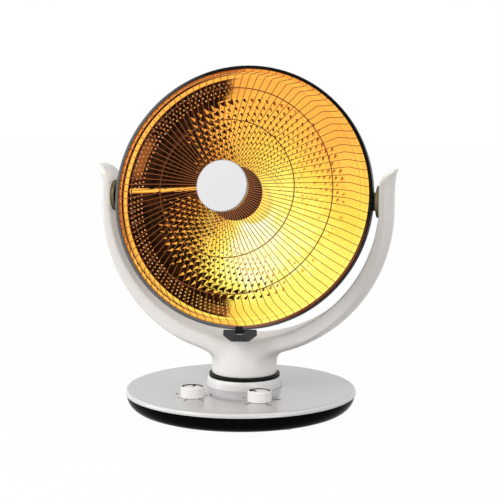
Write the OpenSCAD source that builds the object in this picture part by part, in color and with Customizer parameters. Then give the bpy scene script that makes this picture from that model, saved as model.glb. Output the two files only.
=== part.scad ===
// Carbon dish heater: a gold reflector head in a wire guard, tilting in a fork that swings
// on a round base with two knobs. The origin is on the floor under the base's middle, front is -Y.

/* [Base] */
// Radius of the round base
base_r = 132; // [118:1:150]
// How far the swing axis lies behind the middle of the base
base_shift = 16.5; // [5:0.5:25]
// Height of the base's top face above the floor
base_h = 26.5; // [26:0.5:34]
// Height of the pale rim that wraps over the edge of the base
lip_h = 4.8; // [3:0.2:7]
// How much narrower the dark lower shell is at its bottom
base_taper = 15; // [6:1:22]
// Wall thickness of both base shells
base_wall = 2.5; // [1.8:0.1:3]
// Height of the rubber feet
foot_h = 3; // [2:0.5:4]
// Radius of the rubber feet
foot_r = 8; // [5:0.5:10]
// How far the middles of the feet lie inside the edge of the base
foot_in = 33; // [30:1:43]
// How far the steel weight ring lies inside the edge of the base
weight_in = 23; // [22:1:30]
// Thickness of the steel weight ring
weight_h = 4.6; // [2:0.2:4.8]

/* [Controls] */
// Radius of the two knobs
knob_r = 13.5; // [10:0.5:16]
// Height of the two knobs
knob_h = 11.5; // [8:0.5:16]
// Half the distance between the knobs
knob_x = 38.5; // [34:0.5:44]
// Distance of the knobs in front of the base's middle
knob_y = 63; // [58:0.5:70]
// Depth of the dished top of a knob
knob_dish = 1.2; // [0.6:0.2:2]
// Radius of the knob shafts
shaft_r = 3; // [2.5:0.25:4]
// Width of the switch and timer housings
switch_w = 27; // [20:1:30]
// Depth of the switch and timer housings
switch_h = 12; // [8:0.5:12.5]
// Radius of the tip switch's plunger
plunger_r = 3; // [2:0.25:4]
// Travel of the tip switch's plunger
plunger_travel = 5; // [3:0.5:6]
// Sideways place of the tip switch
tip_x = 64; // [58:1:70]
// Radius of the cord inlet's collar
inlet_r = 5.5; // [4:0.5:6]

/* [Swing] */
// Radius of the raised collar at its foot
collar_r = 43.5; // [42:0.5:50]
// Height of the raised collar
collar_h = 10; // [8:0.5:14]
// Radius of the black ring under the neck
neck_ring_r = 40.7; // [39:0.1:41.5]
// Thickness of the black ring under the neck
neck_ring_h = 3.4; // [2:0.2:5]
// Radius of the round neck
neck_r = 37.5; // [30:0.5:38.5]
// Radius of the swing post where it turns
post_r = 9; // [7:0.5:10]
// Wall thickness of the swing bush
bush_wall = 3; // [2:0.5:4]
// Running clearance of shafts in their bores
run_gap = 0.06; // [0.03:0.01:0.1]
// Half of the swing, to one side
swing = 40; // [25:1:42]

/* [Drive] */
// Radius of the gear motor
motor_r = 23; // [18:1:25]
// Thickness of the gear motor
motor_h = 8.8; // [6:0.2:9]
// Distance of the motor shaft behind the swing axis
crank_y = 24; // [23:0.5:28]
// How far the motor's middle lies behind its shaft
motor_offset = 15; // [15:0.5:18]
// Radius of the crank pin
pin_r = 2; // [1.5:0.25:2.5]
// Play of the crank pin in its slot
slot_play = 0.6; // [0.5:0.1:0.9]
// Thickness of the slotted swing lever
lever_h = 2.4; // [1.6:0.2:2.6]

/* [Fork] */
// Height of the neck from the black ring to the lowest point of the fork's ring
neck_h = 20.5; // [16:0.1:26]
// Height of the tilt axis above the middle of the fork's ring
tilt_rise = 9.5; // [4:0.5:16]
// Gap between the head's rim and the arm's inner face at the pivots
arm_gap = 7; // [6:0.5:14]
// Thickness of the arm at the pivots, from its inner face to its crown
arm_t = 14.5; // [12.5:0.5:18]
// How much further in the ring's inner edge lies at the bottom
root_extra = 8.5; // [4:0.5:12]
// Width of the arm's front edge at the pivots
arm_edge = 7; // [4:0.5:8]
// Depth of the arms at the pivots, front to back
arm_depth = 42; // [36:1:46]
// Depth of the fork at its root, front to back
root_depth = 66; // [54:1:70]
// Height of the arm tips above the tilt axis
tip_rise = 37.5; // [34:0.5:46]
// Radius of the curl on the inner side of each tip
tip_curl = 20.5; // [16:0.5:22]
// How far each tip leans outward
tip_lean = 3; // [0:0.5:5]
// Radius of the rounded corners of each tip
tip_round = 14; // [8:0.5:16]
// Radius of the fillets between neck and arms
neck_fillet = 12; // [8:0.5:16]

/* [Pivots] */
// Radius of the pivot bolts
bolt_r = 4; // [3:0.25:5]
// Radius of the pivot bosses on the head
boss_r = 10.5; // [8:0.5:12]
// Radius of the bronze friction discs
disc_r = 18; // [14:0.5:19]
// Thickness of the bronze friction discs
disc_h = 4; // [2:0.25:5]

/* [Head] */
// Upward tilt of the head as it stands
head_tilt = 12.8; // [8:0.2:20]
// Radius of the head's rim
rim_r = 150; // [146:0.5:151]
// How far the rim's front lies ahead of the tilt axis
rim_front = 20; // [18:0.5:26]
// Depth of the rim band
rim_depth = 13; // [10:0.5:14]
// Width of the rim's front lip
rim_lip = 4; // [3.5:0.5:7]
// Sheet thickness of the rim band
rim_t = 1.6; // [1.2:0.1:1.8]
// Depth of the reflector dish
dish_depth = 52; // [44:1:54]
// Sheet thickness of the reflector
dish_t = 1; // [0.6:0.1:1.2]
// Radius of the hole in the middle of the reflector
dish_hole_r = 17; // [15:0.5:18]
// Wall thickness of the rear housing
housing_t = 1.4; // [1:0.1:1.8]
// Depth of the rear housing behind the tilt axis
housing_back = 54; // [52:0.5:60]
// Radius of the flat end of the rear housing
housing_end_r = 62; // [58:1:75]
// Depth of the rear cap behind the housing
cap_depth = 11; // [9:0.5:16]
// Radius of the rear cap
cap_r = 50; // [46:0.5:52]

/* [Guard] */
// Number of radial guard wires
wires = 96; // [48:1:96]
// Thickness of the guard wires
wire_d = 1.2; // [1:0.1:1.6]
// Thickness of the guard's ring wires
ring_d = 2; // [1.6:0.1:2.4]
// How far the guard's shoulder lies inside the rim's outer face
shoulder_in = 18.5; // [14:0.5:24]
// How far the shoulder stands ahead of the rim
shoulder_out = 36; // [28:0.5:40]
// How far the guard's outer ring lies inside the rim's outer face
outer_ring_in = 35; // [32:0.5:46]
// How far the outer ring stands ahead of the rim
outer_ring_out = 45; // [42:0.5:54]
// How far the guard's inner ring lies inside the rim's outer face
inner_ring_in = 74; // [66:0.5:84]
// How far the inner ring stands ahead of the rim
inner_ring_out = 61.5; // [57:0.5:66]
// Radius of the round hub
hub_r = 28.4; // [27.5:0.1:34]
// How far the hub's face stands ahead of the rim
hub_out = 78.5; // [74:0.5:84]
// Thickness of the hub's cap
hub_h = 3.4; // [2.4:0.2:4.4]

/* [Latch] */
// Width of the latch below the rim
latch_w = 37.6; // [30:0.2:44]
// Width of the latch at its lower end
latch_end_w = 19.4; // [14:0.2:24]
// Height of the latch below its hinge pin
latch_h = 10.8; // [8:0.2:12]
// Thickness of the latch
latch_t = 5; // [4:0.2:6]
// How far round from the rim's lowest point the latch sits
latch_turn = 3; // [0:0.5:6]
// Width of the bright lug that holds the latch
lug_w = 8.4; // [6:0.2:10]
// Radius of the latch's hinge pin
latch_pin_r = 1; // [0.8:0.1:1.3]

/* [Heating element] */
// Radius of the ceramic core between its ribs
core_r = 12; // [9:0.5:13]
// Radius to the middle of the wound heater wire
coil_r = 20; // [18:0.5:22]
// Thickness of the wound heater wire
coil_d = 2.4; // [1.8:0.1:2.6]
// Number of turns of the heater wire
coil_turns = 13; // [8:1:14]
// Radius of the front shield disc
shield_r = 30.4; // [26:0.2:34]
// How far the front shield stands ahead of the rim
shield_out = 20.6; // [16:0.2:26]
// Thickness of the end discs of the core
flange_h = 3; // [2:0.5:4]
// Radius of the rear end disc of the core
flange_r = 25; // [23.5:0.5:27]

/* [Hidden] */
$fn = 96;

// Small distances
fit_gap = 0.1;
face_gap = 0.3;
cut = 1;
tight = 0.02;

// Colours as the object shows them
pale = [0.91, 0.91, 0.89];
light_grey = [0.76, 0.76, 0.76];
black = [0.06, 0.06, 0.06];
rim_grey = [0.27, 0.28, 0.29];
gold = [0.86, 0.58, 0.2];
steel = [0.65, 0.66, 0.68];
ceramic = [0.85, 0.8, 0.7];

// Levels in the base
shell_top_z = base_h - lip_h;
lower_r = base_r - 1.2;
floor_z = foot_h + base_wall;
roof_z = base_h - base_wall;
foot_angles = [45, 135, 225, 315];
screw_angles = [32, 148, 212, 328];
screw_r = 1.5;
screw_head_r = 2.8;
screw_head_h = 1.4;
screw_boss_r = 4;
screw_grip = 9;
foot_circle_r = base_r - foot_in;

// The weight ring lies outside the gear motor, the case screws inside the ring
weight_r = base_r - weight_in;
weight_in_r = base_shift + crank_y + motor_offset + motor_r + 3;
screw_circle_r = weight_in_r - screw_boss_r - 2.5;

// Levels of the swing bearing
collar_top_z = base_h + collar_h;
ring_top_z = collar_top_z + neck_ring_h;
neck_z = ring_top_z + fit_gap;
bush_r = post_r + run_gap + bush_wall;
bush_flange_h = 1.2;
washer_h = 1;
washer_r = bush_r + 1.5;
washer_top_z = roof_z - bush_flange_h - fit_gap;
lever_top_z = washer_top_z - washer_h;
lever_z = lever_top_z - lever_h;
nut_h = 5;
nut_r = post_r + 3.5;
nut_z = lever_z - nut_h;
socket_r = post_r + 3;
socket_top_z = neck_z + 20;

// Crank drive: the pin is furthest from the swing axis at mid swing
crank_r = crank_y * tan(swing);
crank_top_z = lever_z - 0.5;
crank_h = 2.6;
crank_z = crank_top_z - crank_h;
crank_hub_r = 5;
crank_arm_w = 7;
motor_shaft_r = 2.5;
motor_top_z = floor_z + motor_h;
slot_in = norm([crank_y, crank_r]) - pin_r - 1.5;
slot_out = crank_y + crank_r + pin_r + 1;
lever_w = 2 * (pin_r + slot_play) + 7;

// Levels of the controls
knob_z = base_h + 0.4;
knob_wall = 1.6;
ring_mark_w = 1.3;
pointer_w = 2;
pointer_in = knob_r * 0.28;
pointer_depth = 0.5;
switch_z = roof_z - switch_h;
plunger_z = 0.3;
tip_w = 18;
tip_h = 14;
tip_y = 0;

// Fork: it clears the head's rim and stands on the neck
arm_in = rim_r + arm_gap;
crown_r = arm_in + arm_t;
fork_z = neck_z + neck_h + crown_r;
tilt_z = fork_z + tilt_rise;
cheek_z = tilt_z + tip_rise;
arc_steps = 15;
tip_steps = 8;
crown_steps = 8;
edge_round = 1;
tip_min_t = 1.6;

// Pivots
disc_x = arm_in - face_gap - disc_h;
boss_x = disc_x - face_gap;
bolt_in_x = wall_r() - housing_t - 9;
bolt_out_x = arm_in + 6.5;
pivot_nut_h = 4;
pivot_nut_r = 7.5;
// Level where the housing's wall starts to bend inward: it does beside the nuts
wall_end = 2;
pivot_nut_x = housing_r(-pivot_nut_r - housing_t) - housing_t - 2 * face_gap - pivot_nut_h;

// Levels in the head, measured forward from the tilt axis
lip_back = rim_front - rim_t;
wire_level = lip_back - fit_gap - wire_d / 2;
dish_rim = wire_level - wire_d / 2 - fit_gap;
flange_level = dish_rim - dish_t - fit_gap;
flange_t = 1.6;
rim_back = rim_front - rim_depth;
opening_r = rim_r - rim_lip;
shoulder_r = rim_r - shoulder_in;
outer_ring_r = rim_r - outer_ring_in;
inner_ring_r = rim_r - inner_ring_in;
sheet_in_r = rim_r - rim_t;
dish_r = sheet_in_r - 5.5;
dish_base = dish_rim - dish_depth;
cap_back = -housing_back - cap_depth;
plate_level = dish_level(dish_hole_r) - dish_t - fit_gap;
plate_t = 2;
shield_level = rim_front + shield_out;
shield_t = 2.6;
rod_r = 3;
rod_nut_r = 6;
rod_nut_h = 4;
rod_end = rod_nut_h + 2;
core_front = shield_level - shield_t - fit_gap;
core_back = plate_level + fit_gap;
flange_z = dish_level(flange_r) + fit_gap;

// Radius of the housing's straight wall inside the rim band
function wall_r() = rim_r - rim_t - 2.4;

// Radius of the housing's outside at a level behind the straight wall
function housing_r(level) =
    housing_end_r + (wall_r() - housing_end_r) * cos(asin((wall_end - level) / (housing_back + wall_end)));

// Screw-driver cross, shared by the small screws
module screw(head_r, head_h, shank_r, length) {
    difference() {
        union() {
            cylinder(r = head_r, h = head_h);
            translate([0, 0, head_h - fit_gap]) cylinder(r = shank_r, h = length - head_h + fit_gap);
        }
        for (turn = [0, 90])
            rotate([0, 0, turn])
                translate([-head_r * 0.6, -0.4, -cut])
                    cube([head_r * 1.2, 0.8, cut + head_h * 0.6]);
    }
}

// Places its children on the swing axis
module swing_place() {
    translate([0, base_shift, 0]) children();
}

// Places its children on the head's own axis: +Z points out of the dish, +Y up the head
module head_place() {
    translate([0, base_shift, tilt_z])
        rotate([90 - head_tilt, 0, 0])
            children();
}

// Lower shell

// Radius of the lower shell's outside at a height: a part of an ellipse, steepest at the top
bend_ratio = 0.96;
function shell_r(z) =
    let (share = max(0, min(1, (shell_top_z - z) / (shell_top_z - foot_h))))
    lower_r - base_taper * (1 - sqrt(1 - share * share * bend_ratio)) / (1 - sqrt(1 - bend_ratio));

module base_bottom() {
    steps = 10;
    vent_w = 3;
    vent_l = 26;
    levels = [for (i = [0:steps]) foot_h + (shell_top_z - foot_h) * i / steps];
    outside = [for (z = levels) [shell_r(z), z]];
    inside = [for (i = [0:steps])
        let (z = floor_z + (shell_top_z - floor_z) * (1 - i / steps))
        [shell_r(z) - base_wall, z]];
    color(black)
        difference() {
            rotate_extrude()
                polygon(concat([[0, foot_h]], outside, inside, [[0, floor_z]]));
            for (a = screw_angles)
                rotate([0, 0, a])
                    translate([screw_circle_r, 0, foot_h - cut])
                        cylinder(r = screw_r + 0.3, h = base_wall + 2 * cut);
            translate([tip_x, tip_y, foot_h - cut])
                cylinder(r = plunger_r + 0.4, h = base_wall + 2 * cut);
            for (i = [-3:3])
                translate([i * 3 * vent_w - vent_w / 2, -knob_y - vent_l / 2, foot_h - cut])
                    cube([vent_w, vent_l, base_wall + 2 * cut]);
            translate([0, 0, inlet_z()])
                rotate([-90, 0, 0])
                    cylinder(r = inlet_r, h = base_r);
        }
}

// Height of the cord inlet
function inlet_z() = floor_z + inlet_r + 1.2;

module base_top() {
    round_steps = 6;
    round_r = lip_h * 0.8;
    edge = [for (i = [0:round_steps])
        let (a = 90 * i / round_steps)
        [base_r - round_r * (1 - sin(a)), base_h - round_r * (1 - cos(a))]];
    color(light_grey)
        difference() {
            union() {
                rotate_extrude()
                    polygon(concat(
                        [[0, roof_z], [0, base_h]],
                        edge,
                        [[base_r, shell_top_z + fit_gap], [base_r - base_wall, shell_top_z + fit_gap],
                         [base_r - base_wall - 2, roof_z]]));
                for (a = screw_angles)
                    rotate([0, 0, a])
                        translate([screw_circle_r, 0, floor_z + fit_gap])
                            cylinder(r = screw_boss_r, h = roof_z - floor_z);
            }
            translate([0, base_shift, roof_z - cut])
                cylinder(r = bush_r + fit_gap, h = base_wall + 2 * cut);
            for (side = [-1, 1])
                translate([side * knob_x, -knob_y, roof_z - cut])
                    cylinder(r = shaft_r + 1, h = base_wall + 2 * cut);
            for (a = screw_angles)
                rotate([0, 0, a])
                    translate([screw_circle_r, 0, floor_z])
                        cylinder(r = screw_r + fit_gap, h = 10);
        }
}

module rubber_feet() {
    color(black)
        for (a = foot_angles)
            rotate([0, 0, a])
                translate([foot_circle_r, 0, 0])
                    difference() {
                        cylinder(r = foot_r, h = foot_h);
                        translate([0, 0, -cut])
                            cylinder(r = foot_r * 0.45, h = cut + foot_h * 0.4);
                    }
}

module case_screws() {
    color(steel)
        for (a = screw_angles)
            rotate([0, 0, a])
                translate([screw_circle_r, 0, foot_h - screw_head_h])
                    screw(screw_head_r, screw_head_h, screw_r, base_wall + screw_head_h + screw_grip);
}

module weight_ring() {
    color(steel)
        translate([0, 0, floor_z])
            difference() {
                cylinder(r = weight_r, h = weight_h);
                translate([0, 0, -cut])
                    cylinder(r = weight_in_r, h = weight_h + 2 * cut);
            }
}

module cord_inlet() {
    flange = 1;
    flange_l = 6;
    wall_y = shell_r(inlet_z());
    seat_y = shell_r(inlet_z() - inlet_r - flange) - base_wall - face_gap;
    color(black)
        translate([0, 0, inlet_z()])
            rotate([-90, 0, 0])
                difference() {
                    union() {
                        translate([0, 0, seat_y - flange_l])
                            cylinder(r = inlet_r - fit_gap, h = wall_y + 2 - seat_y + flange_l);
                        translate([0, 0, seat_y - flange_l])
                            cylinder(r = inlet_r + flange, h = flange_l);
                    }
                    translate([0, 0, seat_y - flange_l - cut])
                        cylinder(r = inlet_r - 2.2, h = wall_y + 4 - seat_y + flange_l + cut);
                }
}

// Controls

module rotary_switch() {
    color([0.2, 0.2, 0.22])
        translate([-knob_x, -knob_y, switch_z])
            difference() {
                translate([-switch_w / 2, -switch_w / 2, 0])
                    cube([switch_w, switch_w, switch_h]);
                translate([0, 0, 2])
                    cylinder(r = shaft_r + run_gap, h = switch_h);
                for (i = [-1:1])
                    translate([i * 8 - 2.5, -switch_w / 2 - cut, 3])
                        cube([5, cut + 2, 6]);
            }
}

module timer() {
    color([0.82, 0.82, 0.8])
        translate([knob_x, -knob_y, switch_z])
            difference() {
                union() {
                    cylinder(r = switch_w / 2, h = switch_h);
                    translate([-switch_w / 2, -5, switch_h - 2])
                        cube([switch_w, 10, 2]);
                }
                translate([0, 0, 2])
                    cylinder(r = shaft_r + run_gap, h = switch_h);
            }
}

// A knob with a dished top, a shaft bore and a groove for the pointer at the back
module knob() {
    difference() {
        union() {
            cylinder(r1 = knob_r, r2 = knob_r - 0.6, h = knob_h - 1);
            translate([0, 0, knob_h - 1])
                cylinder(r1 = knob_r - 0.6, r2 = knob_r - 1.6, h = 1);
        }
        translate([0, 0, knob_h - knob_dish])
            cylinder(r = knob_r - knob_wall, h = knob_dish + cut);
        translate([0, 0, -cut])
            cylinder(r = shaft_r + tight, h = cut + knob_h - 3.5);
        translate([-pointer_w / 2 - tight, pointer_in - tight, knob_h - knob_dish - pointer_depth])
            cube([pointer_w + 2 * tight, knob_r * 0.4, pointer_depth + cut]);
    }
}

// The black mark on top of a knob: a ring with a pointer that lies in the knob's groove
module knob_ring() {
    ring_r = knob_r - knob_wall - 0.05;
    mark_h = knob_dish * 0.6;
    translate([0, 0, knob_h - knob_dish]) {
        difference() {
            cylinder(r = ring_r, h = mark_h);
            translate([0, 0, -cut])
                cylinder(r = ring_r - ring_mark_w, h = knob_dish + 2 * cut);
        }
        translate([-pointer_w / 2, pointer_in, 0])
            cube([pointer_w, ring_r - ring_mark_w / 2 - pointer_in, mark_h]);
        translate([-pointer_w / 2, pointer_in, tight - pointer_depth])
            cube([pointer_w, knob_r * 0.4 - 2 * tight, pointer_depth]);
    }
}

module knob_shaft() {
    translate([0, 0, switch_z + 2.4])
        cylinder(r = shaft_r, h = knob_z + knob_h - 3.9 - switch_z - 2);
}

module knob_left() {
    color(pale)
        translate([-knob_x, -knob_y, knob_z])
            knob();
}

module knob_left_ring() {
    color(black)
        translate([-knob_x, -knob_y, knob_z])
            knob_ring();
}

module knob_left_shaft() {
    color(steel)
        translate([-knob_x, -knob_y, 0])
            knob_shaft();
}

module knob_right() {
    color(pale)
        translate([knob_x, -knob_y, knob_z])
            rotate([0, 0, 90])
                knob();
}

module knob_right_ring() {
    color(black)
        translate([knob_x, -knob_y, knob_z])
            rotate([0, 0, 90])
                knob_ring();
}

module knob_right_shaft() {
    color(steel)
        translate([knob_x, -knob_y, 0])
            knob_shaft();
}

module tip_switch() {
    color([0.2, 0.2, 0.22])
        translate([tip_x, tip_y, floor_z])
            difference() {
                translate([-tip_w / 2, -tip_w / 2, 0])
                    cube([tip_w, tip_w, tip_h]);
                translate([0, 0, -cut])
                    cylinder(r = plunger_r + run_gap, h = cut + tip_h - 2);
            }
}

module tip_plunger() {
    color([0.8, 0.2, 0.15])
        translate([tip_x, tip_y, plunger_z])
            cylinder(r = plunger_r, h = floor_z + tip_h - 2.4 - plunger_z);
}

// Swing bearing and drive

module collar() {
    steps = 8;
    shoulder = [for (i = [0:steps])
        let (a = 90 * i / steps)
        [neck_ring_r + fit_gap + (collar_r - neck_ring_r - fit_gap) * sin(a),
         collar_top_z - (collar_h - 2) * (1 - cos(a))]];
    color(pale)
        swing_place()
            rotate_extrude()
                polygon(concat(
                    [[bush_r + fit_gap, base_h], [bush_r + fit_gap, collar_top_z]],
                    shoulder,
                    [[collar_r, base_h]]));
}

module neck_ring() {
    color(black)
        translate([0, base_shift, collar_top_z])
            difference() {
                cylinder(r = neck_ring_r, h = neck_ring_h);
                translate([0, 0, -cut])
                    cylinder(r = bush_r + fit_gap, h = neck_ring_h + 2 * cut);
            }
}

module swing_bush() {
    bush_z = roof_z - bush_flange_h;
    color([0.9, 0.9, 0.86])
        translate([0, base_shift, bush_z])
            difference() {
                union() {
                    cylinder(r = bush_r + 2.5, h = bush_flange_h);
                    cylinder(r = bush_r, h = ring_top_z - bush_z);
                }
                translate([0, 0, -cut])
                    cylinder(r = post_r + run_gap, h = ring_top_z - bush_z + 2 * cut);
            }
}

module swing_post() {
    tail = 0.6;
    color(steel)
        swing_place()
            difference() {
                union() {
                    translate([0, 0, nut_z - tail])
                        cylinder(r = post_r, h = neck_z - nut_z + tail + 2);
                    translate([0, 0, neck_z])
                        cylinder(r = socket_r, h = socket_top_z - neck_z);
                }
                translate([0, 0, nut_z - tail - cut])
                    cylinder(r = post_r - 3, h = socket_top_z - nut_z + tail + 2 * cut);
            }
}

module post_washer() {
    color(steel)
        translate([0, base_shift, lever_top_z])
            difference() {
                cylinder(r = washer_r, h = washer_h);
                translate([0, 0, -cut])
                    cylinder(r = post_r + 0.05, h = washer_h + 2 * cut);
            }
}

module post_nut() {
    color(steel)
        translate([0, base_shift, nut_z])
            difference() {
                cylinder(r = nut_r, h = nut_h, $fn = 6);
                translate([0, 0, -cut])
                    cylinder(r = post_r + tight, h = nut_h + 2 * cut);
            }
}

module swing_lever() {
    color(steel)
        translate([0, base_shift, lever_z])
            difference() {
                union() {
                    cylinder(r = post_r + 4, h = lever_h);
                    translate([-lever_w / 2, 0, 0])
                        cube([lever_w, slot_out, lever_h]);
                    translate([0, slot_out, 0])
                        cylinder(r = lever_w / 2, h = lever_h);
                }
                translate([0, 0, -cut])
                    cylinder(r = post_r + tight, h = lever_h + 2 * cut);
                translate([-pin_r - slot_play, slot_in, -cut])
                    cube([2 * (pin_r + slot_play), slot_out - slot_in, lever_h + 2 * cut]);
            }
}

module crank() {
    color([0.9, 0.9, 0.86])
        translate([0, base_shift + crank_y, crank_z])
            difference() {
                union() {
                    cylinder(r = crank_hub_r, h = crank_h);
                    translate([-crank_arm_w / 2, 0, 0])
                        cube([crank_arm_w, crank_r, crank_h]);
                    translate([0, crank_r, 0])
                        cylinder(r = crank_arm_w / 2, h = crank_h);
                    translate([0, crank_r, crank_h - fit_gap])
                        cylinder(r = pin_r, h = lever_top_z + 0.6 - crank_top_z + fit_gap);
                }
                translate([0, 0, -cut])
                    cylinder(r = motor_shaft_r + tight, h = crank_h + 2 * cut);
            }
}

module crank_shaft() {
    color(steel)
        translate([0, base_shift + crank_y, floor_z + 3])
            cylinder(r = motor_shaft_r, h = crank_top_z - floor_z - 3);
}

module gear_motor() {
    ear_w = 12;
    color([0.75, 0.73, 0.66])
        translate([0, base_shift + crank_y, floor_z])
            difference() {
                union() {
                    translate([0, motor_offset, 0])
                        cylinder(r = motor_r, h = motor_h);
                    for (side = [-1, 1])
                        translate([side * motor_r - ear_w / 2, motor_offset - ear_w / 2, 0])
                            cube([ear_w, ear_w, 2]);
                }
                translate([0, 0, 2.6])
                    cylinder(r = motor_shaft_r + run_gap, h = motor_h);
            }
}

// Fork: rings of points are swept from the left tip round the bottom to the right tip

// Distance of the inner face from the fork's middle, by the angle up from the bottom
function ring_in(up) = arm_in - root_extra * cos(up);
// Half depth of the fork, by the angle up from the bottom
function half_depth(up) = arm_depth / 2 + (root_depth - arm_depth) / 2 * pow(cos(up), 2);

// One ring on the arc: [inner, edge, crown, half depth], with outward direction and middle
function arc_ring(up, side) =
    let (r_in = ring_in(up))
    let (edge = arm_edge + (crown_r - arm_in - arm_edge) * 0.55 * cos(up) + root_extra * cos(up) * 0.75)
    [r_in, min(r_in + edge, crown_r - 3), crown_r, half_depth(up), [side * sin(up), -cos(up)], fork_z];

// One ring above the fork's middle, where the arm runs straight up and curls outward
function tip_ring(share, side) =
    let (z = fork_z + (cheek_z - fork_z) * share)
    let (curl_start = cheek_z - tip_curl)
    let (rise = max(0, z - curl_start))
    let (crown = crown_r + tip_lean * pow(share, 4))
    let (curled = arm_in + tip_curl - sqrt(max(0, tip_curl * tip_curl - rise * rise)))
    let (r_in = min(curled, crown - tip_min_t))
    let (corner = max(0, z - (cheek_z - tip_round)))
    let (half = arm_depth / 2 - tip_round + sqrt(max(0, tip_round * tip_round - corner * corner)))
    [r_in, min(r_in + arm_edge, crown - tip_min_t / 2), crown, max(half, arm_depth / 2 - tip_round),
     [side, 0], z];

// The points of one ring, from its inner face round over the crown
function ring_points(ring) =
    let (r_in = ring[0], edge = ring[1], crown = ring[2], half = ring[3], dir = ring[4], z = ring[5])
    let (bend = min(edge_round, (edge - r_in) / 2))
    let (section = concat(
        [[r_in, -half + bend], [r_in + bend, -half]],
        [for (i = [0:crown_steps])
            let (y = 2 * i / crown_steps - 1)
            [edge + (crown - edge) * (1 - y * y), y * half]],
        [[r_in + bend, half], [r_in, half - bend]]))
    [for (p = section) [p[0] * dir[0], p[1], z + p[0] * dir[1]]];

function fork_rings() = concat(
    [for (i = [0:tip_steps - 1]) tip_ring(1 - pow(i / tip_steps, 1.6), -1)],
    [for (i = [0:2 * arc_steps]) arc_ring(abs(i / arc_steps - 1) * 90, i < arc_steps ? -1 : 1)],
    [for (i = [tip_steps - 1:-1:0]) tip_ring(1 - pow(i / tip_steps, 1.6), 1)]);

module fork_band() {
    rings = fork_rings();
    size = crown_steps + 5;
    last = (len(rings) - 1) * size;
    sides = [for (k = [0:len(rings) - 2])
        for (j = [0:size - 1])
            for (half = [0, 1])
                let (a = k * size + j, b = k * size + (j + 1) % size)
                half == 0 ? [a, a + size, b] : [b, a + size, b + size]];
    start = [for (j = [1:size - 2]) [0, j, j + 1]];
    end = [for (j = [1:size - 2]) [last, last + j + 1, last + j]];
    polyhedron(points = [for (r = rings) each ring_points(r)], faces = concat(start, sides, end));
}

// The neck, flared out under the arms and domed inside the band
module neck() {
    flare_x = neck_r + neck_fillet;
    flare_z = fork_z - sqrt(pow(crown_r + neck_fillet, 2) - pow(flare_x, 2));
    reach = crown_r / (crown_r + neck_fillet);
    steps = 8;
    end_a = acos((flare_x - flare_x * reach) / neck_fillet);
    flare = [for (i = [0:steps])
        let (a = end_a * i / steps)
        [flare_x - neck_fillet * cos(a), flare_z + neck_fillet * sin(a)]];
    root_in_z = fork_z - ring_in(0);
    dome_r = neck_r - 8;
    dome_z = root_in_z - 3;
    column_z = flare_z + 8;
    translate([0, 0, neck_z])
        cylinder(r = neck_r, h = column_z - neck_z);
    translate([0, 0, column_z - fit_gap])
        cylinder(r1 = neck_r, r2 = dome_r, h = dome_z - column_z);
    intersection() {
        rotate_extrude()
            polygon(concat(
                [[dome_r, flare_z]],
                flare,
                [[flare_x * reach, flare_z + 16], [dome_r, flare_z + 16]]));
        translate([-neck_r * 2, -root_depth / 2 + 1, flare_z - cut])
            cube([neck_r * 4, root_depth - 2, 30]);
    }
}

module fork() {
    disc_seat = 5;
    color(pale)
        swing_place()
            difference() {
                union() {
                    fork_band();
                    neck();
                }
                translate([0, 0, neck_z - cut])
                    cylinder(r = socket_r + tight, h = socket_top_z - neck_z + cut + fit_gap);
                for (side = [-1, 1]) {
                    translate([side * (arm_in - cut), 0, tilt_z])
                        rotate([0, side * 90, 0])
                            cylinder(r = bolt_r + tight, h = bolt_out_x - arm_in + cut + fit_gap);
                    translate([side * (arm_in - disc_seat), 0, tilt_z])
                        rotate([0, side * 90, 0])
                            cylinder(r = disc_r + face_gap, h = disc_seat);
                }
            }
}

// Pivots

module on_both_sides(x) {
    for (side = [-1, 1])
        translate([side * x, base_shift, tilt_z])
            rotate([0, side * 90, 0])
                children();
}

module pivot_bolts() {
    color(steel)
        on_both_sides(bolt_in_x)
            cylinder(r = bolt_r, h = bolt_out_x - bolt_in_x);
}

module friction_discs() {
    color([0.36, 0.33, 0.22])
        on_both_sides(disc_x)
            difference() {
                cylinder(r = disc_r, h = disc_h + face_gap);
                translate([0, 0, -cut])
                    cylinder(r = bolt_r + tight, h = disc_h + face_gap + 2 * cut);
            }
}

module pivot_nuts() {
    color(steel)
        on_both_sides(pivot_nut_x)
            difference() {
                cylinder(r = pivot_nut_r, h = pivot_nut_h, $fn = 6);
                translate([0, 0, -cut])
                    cylinder(r = bolt_r + tight, h = pivot_nut_h + 2 * cut);
            }
}

module pivot_bosses() {
    color([0.2, 0.17, 0.15])
        difference() {
            on_both_sides(wall_r() - 1.5)
                cylinder(r = boss_r, h = boss_x - wall_r() + 1.5);
            head_place() {
                translate([0, 0, -boss_r * 2])
                    cylinder(r = wall_r() + fit_gap, h = boss_r * 4);
                translate([0, 0, rim_back - fit_gap])
                    cylinder(r = rim_r + fit_gap, h = boss_r * 2);
            }
            on_both_sides(wall_r() - 3)
                cylinder(r = bolt_r + run_gap, h = boss_x);
        }
}

// Head

module rim_band() {
    round_steps = 5;
    corner = [for (i = [0:round_steps])
        let (a = 90 * i / round_steps)
        [rim_r - 2.4 + 2.4 * sin(a), rim_front - 2.4 + 2.4 * cos(a)]];
    color(rim_grey)
        head_place()
            rotate_extrude()
                polygon(concat(
                    [[opening_r, lip_back + 0.4], [opening_r + 0.6, rim_front]],
                    corner,
                    [[rim_r, rim_back], [wall_r() + 0.3, rim_back], [wall_r() + 0.3, rim_back + rim_t],
                     [sheet_in_r, rim_back + rim_t], [sheet_in_r, lip_back], [opening_r, lip_back]]));
}

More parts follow.
